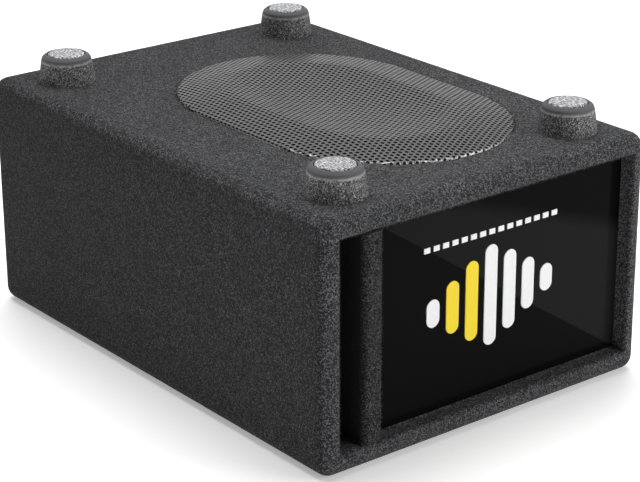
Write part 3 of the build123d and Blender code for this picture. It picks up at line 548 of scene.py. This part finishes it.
cloth = carpet_cloth("carpet_cloth", 0.78)
finishes = {
    "fibreboard": fibreboard(),
    # The divider's cloth: the same cloth made much darker, as painted shade.
    "edge_cloth_painted_shade": carpet_cloth("edge_cloth_painted_shade", 0.12),
    "gloss": gloss_panel(),
    "print": emblem_print(),
    "foot": foot_moulding(),
    "felt": pad_felt(),
    "grille": grille_metal(),
    "black_steel": enamel("black_steel", (0.016, 0.016, 0.018), 0.38),
    "zinc": enamel("zinc_plate", (0.46, 0.45, 0.40), 0.34, metallic=1.0),
    "ferrite": enamel("ferrite", (0.045, 0.045, 0.05), 0.62, 900.0, 0.0003),
    "paper": cone_paper(),
    "rubber": soft_rubber(),
    "foam": enamel("closed_foam", (0.02, 0.02, 0.02), 0.92, 1400.0, 0.0006),
    "spider": woven("spider_cloth", (0.62, 0.40, 0.12), 0.0011),
    "former": brushed("former_foil", (0.75, 0.75, 0.76), 0.3),
    "copper": copper_winding(),
    "laminate": enamel("brown_laminate", (0.16, 0.07, 0.03), 0.6),
    "wires": wire_jackets(),
    "wadding": wadding(),
    "powder": enamel("powder_coat", (0.017, 0.017, 0.018), 0.55, 2400.0, 0.00022),
    "anodised": brushed("anodised", (0.035, 0.035, 0.038), 0.36, (1.0, 1.0, 0.02)),
    "moulded": enamel("moulded_black", (0.014, 0.014, 0.015), 0.5, 2600.0, 0.00012),
    "board": circuit_green(),
    "sleeve": enamel("capacitor_sleeve", (0.012, 0.02, 0.075), 0.25),
    "nickel": brushed("nickel_plate", (0.72, 0.70, 0.65), 0.22),
    "fuse": clear_red(),
    "lamp": lamp_lens(),
}
finish_nodes = {
    "fibreboard": (
        "driver_panel", "driver_ring", "base_panel", "left_side_panel", "right_side_panel",
        "rear_panel", "front_baffle", "port_divider",
    ),
    "gloss": ("front_plate",),
    "print": ("front_emblem",),
    "foot": ("foot_front_left", "foot_front_right", "foot_rear_left", "foot_rear_right"),
    "black_steel": ("woofer_basket",),
    "zinc": ("foot_screws", "woofer_screws", "top_plate", "pole_yoke", "amp_screws", "switch_bodies"),
    "ferrite": ("magnet",),
    "paper": ("cone", "dust_cap"),
    "foam": ("basket_gasket", "amp_gasket"),
    "former": ("voice_coil_former",),
    "copper": ("voice_coil_winding", "toroid_choke"),
    "laminate": ("terminal_strip",),
    "wires": ("speaker_wires",),
    "powder": ("amp_plate",),
    "anodised": ("heat_sink",),
    "moulded": (
        "amp_cover", "power_transistors", "potentiometers", "gain_knob", "crossover_knob",
        "bass_boost_knob", "phase_slider", "input_slider", "high_level_socket",
        "power_terminal_block", "fuse_holder",
    ),
    "board": ("circuit_board",),
    "sleeve": ("capacitors",),
    "nickel": ("rca_sockets", "terminal_screws"),
    "fuse": ("fuse",),
    "lamp": ("power_led",),
}
for finish, node_names in finish_nodes.items():
    for node_name in node_names:
        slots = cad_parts[node_name].data.materials
        slots.clear()
        slots.append(finishes[finish])


# ---- Carpet ----
base_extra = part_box("divider_carpet")[0].z - lining_inset
fold = 2.4 * MM
face_inset = lining_inset - fold
inner_corner = 0.8 * MM
lining_overlap = 5 * MM
divider_corner = 4.2 * MM
plate_face = plate_low.y - 0.25 * MM
waviness = 0.12 * MM
across_count, upright_count, corner_count = 82, 40, 6


def ring(y, inset, radius, lift):
    """
    Rounded rectangle round the box at a place y, in from its sides by inset, starting at the top
    left. Each straight side is divided evenly and each corner is a quarter circle. Its lower side is
    raised by lift.
    """
    reach = width / 2 - inset - radius
    top, bottom = height - inset - radius, inset + lift + radius
    rows = []
    corners = [(-reach, top, 180), (reach, top, 90), (reach, bottom, 0), (-reach, bottom, -90)]

    def arc(corner, turn):
        return np.array(corners[corner][:2]) + radius * np.stack([np.cos(turn), np.sin(turn)], -1)

    for index in range(4):
        start = corners[index][2]
        rows.append(arc(index, np.radians(start - np.linspace(0, 90, corner_count, endpoint=False))))
        end = arc(index, np.radians(start - 90))
        first = arc((index + 1) % 4, np.radians(corners[(index + 1) % 4][2]))
        count = across_count if index % 2 == 0 else upright_count
        part = np.linspace(0, 1, count, endpoint=False)[:, None]
        rows.append(end * (1 - part) + first * part)
    x, z = np.concatenate(rows).T
    return np.column_stack([x, np.full(len(x), y), z])


def quarter(start, end, count):
    """Values of a quarter circle's angle from start to end degrees."""
    return np.radians(np.linspace(start, end, count))


def wrap_profile():
    """
    Path of the cloth from the rear lining round the outside to the front lining, as (y, inset): a
    quarter circle round each outer edge and a small one round each inner edge.
    """
    turn_in = quarter(0, 90, 7)
    inner_rear = [
        (rear - fold + fold * math.sin(a), face_inset + fold * math.cos(a)) for a in turn_in
    ]
    outer_rear = [
        (rear - edge_radius + edge_radius * math.cos(a), edge_radius - edge_radius * math.sin(a))
        for a in quarter(0, 90, 11)
    ]
    lining_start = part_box("rear_carpet")[1].y + lining_overlap
    rear_half = [(lining_start, lining_inset), (rear - 6 * MM, lining_inset)]
    rear_half += inner_rear + outer_rear
    straight = [(y, 0.0) for y in np.linspace(rear - edge_radius, front + edge_radius, 117)[1:-1]]
    front_half = [(-y, inset) for y, inset in reversed(rear_half[2:])]
    front_half += [(front + 6 * MM, lining_inset), (plate_face - 0.3 * MM, lining_inset)]
    front_half += [(plate_face, lining_inset + 0.9 * MM)]
    return np.array(rear_half + straight + front_half)


def oval_level(x, y):
    """
    0 on the grille's ridge and 1 on its outline, for points about the driver's axis. The oval of a
    level has a half width of 52 + 31.5 * level, a half length of 91 + 35.6 * level and half-ellipse
    ends of depth 56 + 33 * level, and the level is found by halving.
    """
    x, y = np.abs(x) / MM, np.abs(y) / MM
    low, high = np.full(x.shape, -1.65), np.full(x.shape, 2.0)
    for _ in range(36):
        level = (low + high) / 2
        half_width = np.maximum(52 + 31.5 * level, 1e-6)
        end = np.maximum(56 + 33 * level, 1e-6)
        side = 91 + 35.6 * level - end
        past = np.maximum(y - side, 0)
        outside = (x / half_width) ** 2 + (past / end) ** 2 > 1
        low, high = np.where(outside, level, low), np.where(outside, high, level)
    return (low + high) / 2


def onto_level(x, y, target):
    """Moves points along the line from the driver's axis until they lie on a level's oval."""
    low, high = np.full(x.shape, 0.2), np.full(x.shape, 3.0)
    for _ in range(30):
        scale = (low + high) / 2
        inside = oval_level(x * scale, y * scale) < target
        low, high = np.where(inside, scale, low), np.where(inside, high, scale)
    return x * low, y * low


def carpet_wrap():
    """
    The cloth round the box: a rounded-rectangle ring carried along the wrap profile, with the
    driver's oval cut out of its top. In the port's mouth the front lining runs deeper.
    """
    profile = wrap_profile()
    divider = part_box("port_divider")
    port_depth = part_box("divider_carpet")[1].y
    rings = []
    for y, inset in profile:
        radius = max(edge_radius - inset, inner_corner)
        lift = base_extra * np.clip((inset - edge_radius) / (face_inset - edge_radius), 0, 1)
        rings.append(ring(y, inset, radius, lift))
    points = np.stack(rings)
    share = (points[-1, :, 0] < (divider[0].x + divider[1].x) / 2).astype(float)
    for line, part in ((-1, 1.0), (-2, 0.75), (-3, 0.3)):
        points[line, :, 1] += (port_depth - points[-1, :, 1].min()) * part * share
    rows, columns = points.shape[:2]
    points = points.reshape(-1, 3)
    faces = grid_faces(rows, columns, close_columns=True)
    middles = points[faces].mean(1)
    on_top = middles[:, 2] > height - 0.1 * MM
    inside = on_top & (oval_level(middles[:, 0] - driver_x, middles[:, 1] - driver_y) < 1.0)
    kept = faces[~inside]
    rim = np.intersect1d(np.unique(faces[inside]), np.unique(kept))
    moved_x, moved_y = onto_level(points[rim, 0] - driver_x, points[rim, 1] - driver_y, 1.012)
    points[rim, 0], points[rim, 1] = moved_x + driver_x, moved_y + driver_y
    used = np.unique(kept)
    index = np.full(len(points), -1)
    index[used] = np.arange(len(used))
    points = points[used]
    wave = value_noise(points, 9 * MM, 11) * waviness
    outward = points - np.array([0, 0, centre_z])
    outward /= np.maximum(np.linalg.norm(outward, axis=1), 1e-9)[:, None]
    lowered = points - outward * np.abs(wave)[:, None]
    piece = mesh_piece("carpet_cloth_wrap", lowered, index[kept][:, ::-1], cloth)
    solidify(piece, carpet_thickness)
    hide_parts("carpet_wrap", "base_carpet")


def divider_cloth():
    """
    Cloth folded round the divider's front edge: a U in plan, with quarter-circle corners, carried up
    from the floor lining to the top one and flared a little where it tucks into each.
    """
    low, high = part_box("divider_carpet")
    corner = divider_corner
    left = [(low.x, y) for y in np.linspace(high.y, low.y + corner, 12)]
    first = [
        (low.x + corner - corner * math.cos(a), low.y + corner - corner * math.sin(a))
        for a in quarter(0, 90, 9)[1:]
    ]
    face = [(x, low.y) for x in np.linspace(low.x + corner, high.x - corner, 6)[1:-1]]
    second = [
        (high.x - corner + corner * math.sin(a), low.y + corner - corner * math.cos(a))
        for a in quarter(0, 90, 9)
    ]
    right = [(high.x, y) for y in np.linspace(low.y + corner, plate_face - 0.3 * MM, 4)[1:]]
    right += [(high.x + 0.9 * MM, plate_face)]
    plan = np.array(left + first + face + second + right)
    heights = np.linspace(low.z, high.z, 60)
    near_end = np.minimum(heights - low.z, high.z - heights)
    flare = 1.6 * MM * np.clip(1 - near_end / (2.2 * MM), 0, 1) ** 2
    middle_x = (low.x + high.x) / 2
    side = np.clip((plan[:, 0] - middle_x) / ((high.x - low.x) / 2), -1, 1)
    x = plan[None, :, 0] + flare[:, None] * side[None, :]
    y = np.broadcast_to(plan[None, :, 1], x.shape)
    z = np.broadcast_to(heights[:, None], x.shape)
    points = np.stack([x, y, z], -1).reshape(-1, 3)
    points[:, 0] += value_noise(points, 7 * MM, 5) * waviness
    faces = grid_faces(len(heights), len(plan))
    # Its cloth is the darker copy of the carpet: painted shade.
    piece = mesh_piece("divider_cloth", points, faces, finishes["edge_cloth_painted_shade"])
    solidify(piece, carpet_thickness)
    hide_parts("divider_carpet")


def rear_cloth():
    """
    Strip of cloth folded into the corner between the rear panel and the recess's wall: an L with a
    quarter-circle fold, carried round the recess as a rounded rectangle.
    """
    face_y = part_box("rear_carpet")[1].y
    bend = 0.9 * MM
    inner_edge = 17.6 * MM
    path = [(face_y - 0.2 * MM, inner_edge), (face_y, 16.4 * MM), (face_y, 14.6 * MM)]
    path += [
        (face_y + bend - bend * math.cos(a), lining_inset + bend - bend * math.sin(a))
        for a in quarter(0, 90, 4)
    ]
    path += [(face_y + 3 * MM, lining_inset), (face_y + lining_overlap + 0.3 * MM, lining_inset)]
    rings = []
    for y, inset in path:
        lift = base_extra * (inner_edge - inset) / (inner_edge - lining_inset)
        rings.append(ring(y, inset, inner_corner, lift))
    points = np.concatenate(rings)
    faces = grid_faces(len(rings), len(rings[0]), close_columns=True)[:, ::-1]
    piece = mesh_piece("rear_cloth", points, faces, cloth)
    solidify(piece, 0.8 * MM)
    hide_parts("rear_carpet")


def strands(name, roots, directions, lengths, thickness):
    """
    Loose fibres: each one is a three-sided tapering prism from its root over a bent middle to its
    tip, and the bend is a small random step across its direction.
    """
    count = len(roots)
    directions = directions / np.linalg.norm(directions, axis=1)[:, None]
    across = np.cross(directions, rng.normal(size=(count, 3)))
    across /= np.linalg.norm(across, axis=1)[:, None]
    other = np.cross(directions, across)
    reach = lengths[:, None]
    middle = roots + directions * reach * 0.55 + across * reach * rng.uniform(-0.25, 0.25, (count, 1))
    tip = roots + directions * reach + other * reach * rng.uniform(-0.35, 0.35, (count, 1))
    turn = np.radians([0, 120, 240])[None, :, None]
    spread = np.cos(turn) * across[:, None] + np.sin(turn) * other[:, None]
    base_ring = roots[:, None] + spread * thickness * 0.5
    middle_ring = middle[:, None] + spread * thickness * 0.36
    points = np.concatenate([base_ring, middle_ring, tip[:, None]], axis=1).reshape(-1, 3)
    pattern = np.array([
        [0, 1, 4], [0, 4, 3], [1, 2, 5], [1, 5, 4], [2, 0, 3], [2, 3, 5],
        [3, 4, 6], [4, 5, 6], [5, 3, 6], [0, 2, 1],
    ])
    faces = (np.arange(count) * 7)[:, None, None] + pattern[None]
    mesh_piece(name, points, faces.reshape(-1, 3), cloth, smooth=False)


def lip_fuzz():
    """
    Fibres that stand out of the cloth round the front opening and the slot: roots spread evenly along
    each edge and round the quarter circle of its fold, leaning into the opening.
    """
    roots, aims = [], []
    fibres_per_mm = 5.0

    def edge(start, end, normal, bend=fold):
        start, end, normal = np.array(start), np.array(end), np.array(normal, float)
        count = int(np.linalg.norm(end - start) / MM * fibres_per_mm)
        share = rng.uniform(0, 1, (count, 1))
        turn = rng.uniform(0, math.radians(75), (count, 1))
        backward = np.array([0, 1, 0]) * bend * (1 - np.sin(turn))
        roots.append(start * (1 - share) + end * share + backward - normal * bend * (1 - np.cos(turn)))
        aims.append(normal + rng.normal(0, 0.45, (count, 3)) + np.array([0, -0.35, 0]))

    low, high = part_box("divider_carpet")
    side = width / 2 - lining_inset
    edge((-side, front, low.z), (side, front, low.z), (0, 0, 1))
    edge((-side, front, high.z), (side, front, high.z), (0, 0, -1))
    edge((side, front, low.z), (side, front, high.z), (-1, 0, 0))
    edge((-side, front, low.z), (-side, front, high.z), (1, 0, 0))
    edge((low.x, low.y, low.z), (low.x, low.y, high.z), (-1, 0, 0), divider_corner)
    edge((high.x, low.y, low.z), (high.x, low.y, high.z), (1, 0, 0), divider_corner)
    roots, aims = np.concatenate(roots), np.concatenate(aims)
    lengths = rng.uniform(0.6, 1.9, len(roots)) * MM
    strands("loose_fibres", roots, aims, lengths, 0.16 * MM)


# ---- Grille ----
hole_pitch = 4.15 * MM
row_pitch = 3.32 * MM
hole_half_width = 1.12 * MM
hole_half_length = 1.5 * MM
sheet_thickness = 0.9 * MM
turn_down = 2.6 * MM
bend_radius = 1.2 * MM
ridge_to_rim = 33 * MM
bend_line = 1 - bend_radius / ridge_to_rim
row_reach, hole_reach = 27, 34


def grille_height(x, y, level):
    """
    Height of the sheet above the carpet: a band that rises, a little steeper at its foot, from the
    rim to the ridge, and a dish inside it whose depth follows a hyperbola of the distance from the
    axis, measured by a superellipse of 52 by 91 mm. The ridge is a smooth minimum of the two.
    """
    band = 5.3 - 3.45 * level - 0.75 * level * np.abs(level)
    reach = (np.abs(x / (52 * MM)) ** 2.5 + np.abs(y / (91 * MM)) ** 2.5) ** 0.4
    dish = 0.9 + 7.3 * (np.sqrt(1 + (reach / 0.8) ** 2) - 1)
    soft = 0.3
    return -soft * np.log(np.exp(-band / soft) + np.exp(-dish / soft)) * MM + height


def grille_surface(x, y):
    """
    The flat sheet's point (x, y) after pressing: inside the bend line it is lifted to the grille's
    height, and past it the sheet turns down round a small radius and then runs straight down.
    """
    level = oval_level(x, y)
    past = np.maximum(level - bend_line, 0) * ridge_to_rim
    beyond = level > bend_line
    on_x, on_y = x.copy(), y.copy()
    on_x[beyond], on_y[beyond] = onto_level(x[beyond], y[beyond], bend_line)
    step = 0.4 * MM
    rise_x = oval_level(on_x + step, on_y) - oval_level(on_x - step, on_y)
    rise_y = oval_level(on_x, on_y + step) - oval_level(on_x, on_y - step)
    size = np.maximum(np.hypot(rise_x, rise_y), 1e-12)
    out_x, out_y = rise_x / size, rise_y / size
    angle = np.minimum(past / bend_radius, math.pi / 2)
    straight = np.maximum(past - bend_radius * math.pi / 2, 0)
    out = bend_radius * np.sin(angle)
    down = bend_radius * (1 - np.cos(angle)) + straight
    z = grille_height(on_x, on_y, np.minimum(level, bend_line)) - down
    return np.stack([on_x + out_x * out + driver_x, on_y + out_y * out + driver_y, z], -1)


def sheet_normals(x, y):
    """Unit normals of the pressed sheet, from the surface's differences."""
    step = 0.15 * MM
    along_x = grille_surface(x + step, y) - grille_surface(x - step, y)
    along_y = grille_surface(x, y + step) - grille_surface(x, y - step)
    normal = np.cross(along_x, along_y)
    return normal / np.maximum(np.linalg.norm(normal, axis=1), 1e-15)[:, None]


def grille():
    """
    Perforated sheet: a flat lattice of hexagon cells, each with an oval hole of twelve points, is
    pressed into shape by the surface function, so that the holes run over the rim as they do when
    a punched sheet is bent.
    """
    squeeze = row_pitch / (hole_pitch * math.sqrt(3) / 2)
    rows = np.arange(-row_reach, row_reach + 1)
    steps = np.arange(-hole_reach, hole_reach + 1)
    i, j = np.meshgrid(rows, steps, indexing="ij")
    cell_x = (i * row_pitch).ravel()
    cell_y = ((j + 0.5 * (i % 2)) * hole_pitch).ravel()
    edge = 1 + turn_down / ridge_to_rim
    kept = oval_level(cell_x, cell_y) < edge
    cell_x, cell_y = cell_x[kept], cell_y[kept]
    corner_turn = np.radians(np.arange(6) * 60.0)
    corner_reach = hole_pitch / math.sqrt(3)
    hole_turn = np.radians(np.arange(12) * 30.0)
    corner_x = cell_x[:, None] + squeeze * corner_reach * np.cos(corner_turn)
    corner_y = cell_y[:, None] + corner_reach * np.sin(corner_turn)
    hole_x = cell_x[:, None] + hole_half_width * np.cos(hole_turn)
    hole_y = cell_y[:, None] + hole_half_length * np.sin(hole_turn)
    key = np.round(np.stack([corner_x.ravel(), corner_y.ravel()], -1) / (0.05 * MM)).astype(np.int64)
    _, first, corner_index = np.unique(key, axis=0, return_index=True, return_inverse=True)
    corner_index = corner_index.reshape(-1, 6)
    flat_x = np.concatenate([corner_x.ravel()[first], hole_x.ravel()])
    flat_y = np.concatenate([corner_y.ravel()[first], hole_y.ravel()])
    count = len(flat_x)
    hole_index = len(first) + np.arange(hole_x.size).reshape(-1, 12)
    side = np.arange(6)
    c0, c1 = corner_index[:, side], corner_index[:, (side + 1) % 6]
    h0, h1 = hole_index[:, side * 2], hole_index[:, side * 2 + 1]
    h2 = hole_index[:, (side * 2 + 2) % 12]
    top = np.concatenate(
        [np.stack(t, -1).reshape(-1, 3) for t in ((c0, h1, h0), (c0, c1, h1), (c1, h2, h1))]
    )
    under = top[:, ::-1] + count
    hole_next = np.roll(hole_index, -1, axis=1)
    wall = np.stack([hole_index, hole_next, hole_next + count, hole_index + count], -1).reshape(-1, 4)
    sides = np.stack([c0, c1], -1).reshape(-1, 2)
    ordered = np.sort(sides, axis=1)
    _, back, times = np.unique(ordered, axis=0, return_inverse=True, return_counts=True)
    open_sides = sides[times[back.ravel()] == 1]
    start, end = open_sides.T
    rim = np.column_stack([end, start, start + count, end + count])
    upper = grille_surface(flat_x, flat_y)
    lower = upper - sheet_normals(flat_x, flat_y) * sheet_thickness
    points = np.concatenate([upper, lower])
    faces = top.tolist() + under.tolist() + wall.tolist() + rim.tolist()
    data = bpy.data.meshes.new("grille_sheet")
    data.from_pydata(points.tolist(), [], faces)
    data.materials.append(finishes["grille"])
    # The bend zone, which carries the painted highlight of the grille's material.
    past = (oval_level(flat_x, flat_y) - bend_line) * ridge_to_rim
    bend = np.clip((past - 0.5 * MM) / (0.8 * MM), 0, 1)
    wear_and_painted_light = data.attributes.new("bend", "FLOAT", "POINT")
    wear_and_painted_light.data.foreach_set("value", np.concatenate([bend, bend]).astype(np.float32))
    piece = added("grille_sheet", data)
    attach(piece, BODY)
    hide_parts("grille")


# ---- Driver's soft parts ----
def radial_blend(piece):
    """
    Bakes the piece's placement into its mesh.
    """
    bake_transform(piece)


def closed_sheet(upper, lower, rows, columns):
    """Closed ring sheet: an upper and a lower grid, joined along both open edges."""
    count = rows * columns
    top = grid_faces(rows, columns, close_columns=True)
    bottom = top[:, ::-1] + count
    j = np.arange(columns)
    next_j = (j + 1) % columns
    inner = np.column_stack([next_j, j, j + count, next_j + count])
    last = (rows - 1) * columns
    outer = np.column_stack([last + j, last + next_j, last + next_j + count, last + j + count])
    return np.concatenate([upper, lower]), np.concatenate([top, bottom, inner, outer])


def oval_rings(half_width, half_length, level, turn):
    """Points of ellipses about the driver's axis, with one size and one height for each."""
    x = driver_x + half_width[:, None] * np.cos(turn)
    y = driver_y + half_length[:, None] * np.sin(turn)
    return np.stack([x, y, np.broadcast_to(level[:, None], x.shape)], -1).reshape(-1, 3)


def surround():
    """
    Half-roll surround: round ellipses about the driver's axis, from the lip glued on the cone over a
    half circle to the land on the basket's flange.
    """
    cone_low, cone_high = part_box("cone")
    ring_low, ring_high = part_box("surround")
    half_width = (cone_high.x - cone_low.x) / 2
    half_length = (cone_high.y - cone_low.y) / 2
    land_width = (ring_high.x - ring_low.x) / 2
    roll_start, roll_end = 1.2 * MM, 13.6 * MM
    steps = np.concatenate([
        np.linspace(-2.5 * MM, roll_start, 4)[:-1],
        roll_start + (roll_end - roll_start) * (1 - np.cos(np.linspace(0, math.pi, 22))) / 2,
        np.linspace(roll_end, land_width - half_width, 5)[1:],
    ])
    share = np.clip((steps - roll_start) / (roll_end - roll_start), 0, 1)
    lift = 5.6 * MM * np.sqrt(np.clip(1 - (2 * share - 1) ** 2, 0, 1))
    turn = np.linspace(0, 2 * math.pi, 160, endpoint=False)
    base = ring_low.z + 0.3 * MM

    def layer(shift):
        return oval_rings(half_width + steps, half_length + steps, base + (lift + shift), turn)

    points, faces = closed_sheet(layer(0.6 * MM), layer(-0.2 * MM), len(steps), len(turn))
    piece = mesh_piece(
        "surround_roll", points, faces, finishes["rubber"], body=None
    )
    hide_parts("surround")
    radial_blend(piece)


def spider():
    """Corrugated centring disc: a radial sine wave between the former and the basket's ledge."""
    low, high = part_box("spider")
    outer = (high.x - low.x) / 2
    inner = 16.8 * MM
    radii = np.linspace(inner, outer, 61)
    share = (radii - inner) / (outer - inner)
    faded = np.clip(np.minimum(share, 1 - share) * 9, 0, 1)
    wave = 1.3 * MM * np.sin(share * 2 * math.pi * 5) * faded
    turn = np.linspace(0, 2 * math.pi, 96, endpoint=False)

    def layer(shift):
        return oval_rings(radii, radii, (low.z + high.z) / 2 + wave + shift, turn)

    points, faces = closed_sheet(layer(0.2 * MM), layer(-0.2 * MM), len(radii), len(turn))
    piece = mesh_piece("spider_disc", points, faces, finishes["spider"], body=None)
    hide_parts("spider")
    radial_blend(piece)


def flexible_leads():
    """
    Two braided leads from the terminal strip to just short of the cone's back: round tubes along a
    polyline whose corners are cut three times.
    """
    low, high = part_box("tinsel_leads")
    radius = 0.7 * MM
    route = np.array([(51.4, 0), (51.4, 3), (66, 11), (69, 17), (63, 24), (54, 29)]) * MM
    for _ in range(3):
        before, after = route[:-1], route[1:]
        cut = np.stack([before * 0.75 + after * 0.25, before * 0.25 + after * 0.75], 1)
        route = np.vstack([route[:1], cut.reshape(-1, 2), route[-1:]])
    along = np.gradient(route, axis=0)
    along /= np.linalg.norm(along, axis=1)[:, None]
    turn = np.linspace(0, 2 * math.pi, 12, endpoint=False)
    y = driver_y + route[:, :1] - radius * np.sin(turn) * along[:, 1:]
    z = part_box("terminal_strip")[1].z + route[:, 1:] + radius * np.sin(turn) * along[:, :1]
    count = len(route) * len(turn)
    cap = np.array([[0, 1, 10, 11], [1, 2, 9, 10], [2, 3, 8, 9], [3, 4, 7, 8], [4, 5, 6, 7]])
    last = (cap + count - len(turn))[:, ::-1]
    tube = np.concatenate([grid_faces(len(route), len(turn), close_columns=True)[:, ::-1], cap, last])
    points = np.concatenate([
        np.stack([x + radius * np.cos(turn) + 0 * y, y, z], -1).reshape(-1, 3)
        for x in (low.x + radius, high.x - radius)
    ])
    piece = mesh_piece(
        "flexible_leads", points, np.concatenate([tube, tube + count]), finishes["copper"], body=None,
    )
    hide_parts("tinsel_leads")
    radial_blend(piece)


def damping_wool():
    """Lump of wadding on the base: a rounded slab with a tufted surface."""
    low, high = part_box("damping_wool")
    centre = np.array([(low.x + high.x) / 2, (low.y + high.y) / 2, (low.z + high.z) / 2])
    half = np.array([high.x - low.x, high.y - low.y, high.z - low.z]) / 2 - 1.2 * MM
    rows, columns = 41, 120
    v = np.linspace(-math.pi / 2, math.pi / 2, rows)[:, None]
    u = np.linspace(0, 2 * math.pi, columns, endpoint=False)[None, :]

    def power(value, exponent):
        return np.sign(value) * np.abs(value) ** exponent

    x = power(np.cos(v), 0.25) * power(np.cos(u), 0.3)
    y = power(np.cos(v), 0.25) * power(np.sin(u), 0.3)
    z = power(np.sin(v), 0.5) + 0 * u
    points = centre + np.stack([x, y, z], -1).reshape(-1, 3) * half
    tufts = value_noise(points, 14 * MM, 3) * 0.7 + value_noise(points, 5 * MM, 4) * 0.3
    points[:, 2] += tufts * 1.1 * MM
    faces = grid_faces(rows, columns, close_columns=True)
    piece = mesh_piece("wadding_slab", points, faces, finishes["wadding"])
    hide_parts("damping_wool")


def felt_pads():
    """Four felt discs: round profiles with a softened edge and a matted top."""
    low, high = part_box("felt_pads")
    radius = 12.2 * MM
    thick = high.z - low.z
    radii = np.array([
        0.05, 1.5, 3, 4.5, 6, 7.5, 9, 10.2, 11.0, 11.6, 12.0, 12.2, 12.2, 12.2, 11.5, 6, 0.05
    ])
    levels = np.array([1, 1, 1, 1, 1, 1, 1, 0.995, 0.97, 0.92, 0.84, 0.7, 0.4, 0.08, 0, 0, 0])
    turn = np.linspace(0, 2 * math.pi, 72, endpoint=False)
    places_x, places_y = (low.x + radius, high.x - radius), (low.y + radius, high.y - radius)
    middles = [(x, y) for y in places_y for x in places_x]
    all_points, all_faces, start = [], [], 0
    for x0, y0 in middles:
        ring_x = x0 + radii[:, None] * MM * np.cos(turn)
        ring_y = y0 + radii[:, None] * MM * np.sin(turn)
        ring_z = low.z + (levels * thick - 0.2 * MM * (levels > 0.5))[:, None] + 0 * ring_x
        points = np.stack([ring_x, ring_y, ring_z], -1).reshape(-1, 3)
        rough = value_noise(points, 1.7 * MM, 21) * 0.6 + value_noise(points, 0.8 * MM, 22) * 0.4
        top = np.repeat(levels > 0.5, len(turn))
        points[:, 2] += np.where(top, rough * 0.2 * MM, 0)
        faces = grid_faces(len(radii), len(turn), close_columns=True)
        all_points.append(points)
        all_faces.append(faces + start)
        start += len(points)
    piece = mesh_piece(
        "felt_discs", np.concatenate(all_points), np.concatenate(all_faces), finishes["felt"]
    )
    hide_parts("felt_pads")


carpet_wrap()
divider_cloth()
rear_cloth()
lip_fuzz()
grille()
surround()
spider()
flexible_leads()
damping_wool()
felt_pads()


# ---- Studio ----
def area_light(name, place, target, size, power):
    """Square soft light aimed at a point."""
    data = bpy.data.lights.new(name, "AREA")
    data.size = size
    data.energy = power
    light = added(name, data)
    light.location = place
    light.rotation_euler = (Vector(target) - Vector(place)).to_track_quat("-Z", "Y").to_euler()


floor_points = [(-6, -6, 0), (6, -6, 0), (6, 6, 0), (-6, 6, 0)]
floor = mesh_piece("floor", floor_points, [(0, 1, 2, 3)], studio_floor(), body=None)
middle = (0, 0, centre_z)
area_light("overhead", (0.45, 0.8, 2.8), middle, 2.7, 112)
area_light("back_panel", (1.9, 2.6, 0.9), middle, 2.4, 24)
area_light("front_fill", (1.3, -1.9, 0.8), middle, 1.2, 24)
world = bpy.data.worlds.new("studio")
world.use_nodes = True
world.node_tree.nodes["Background"].inputs[0].default_value = (1, 1, 1, 1)
world.node_tree.nodes["Background"].inputs[1].default_value = 0.17
bpy.context.scene.world = world
bpy.context.scene.view_settings.view_transform = "Standard"
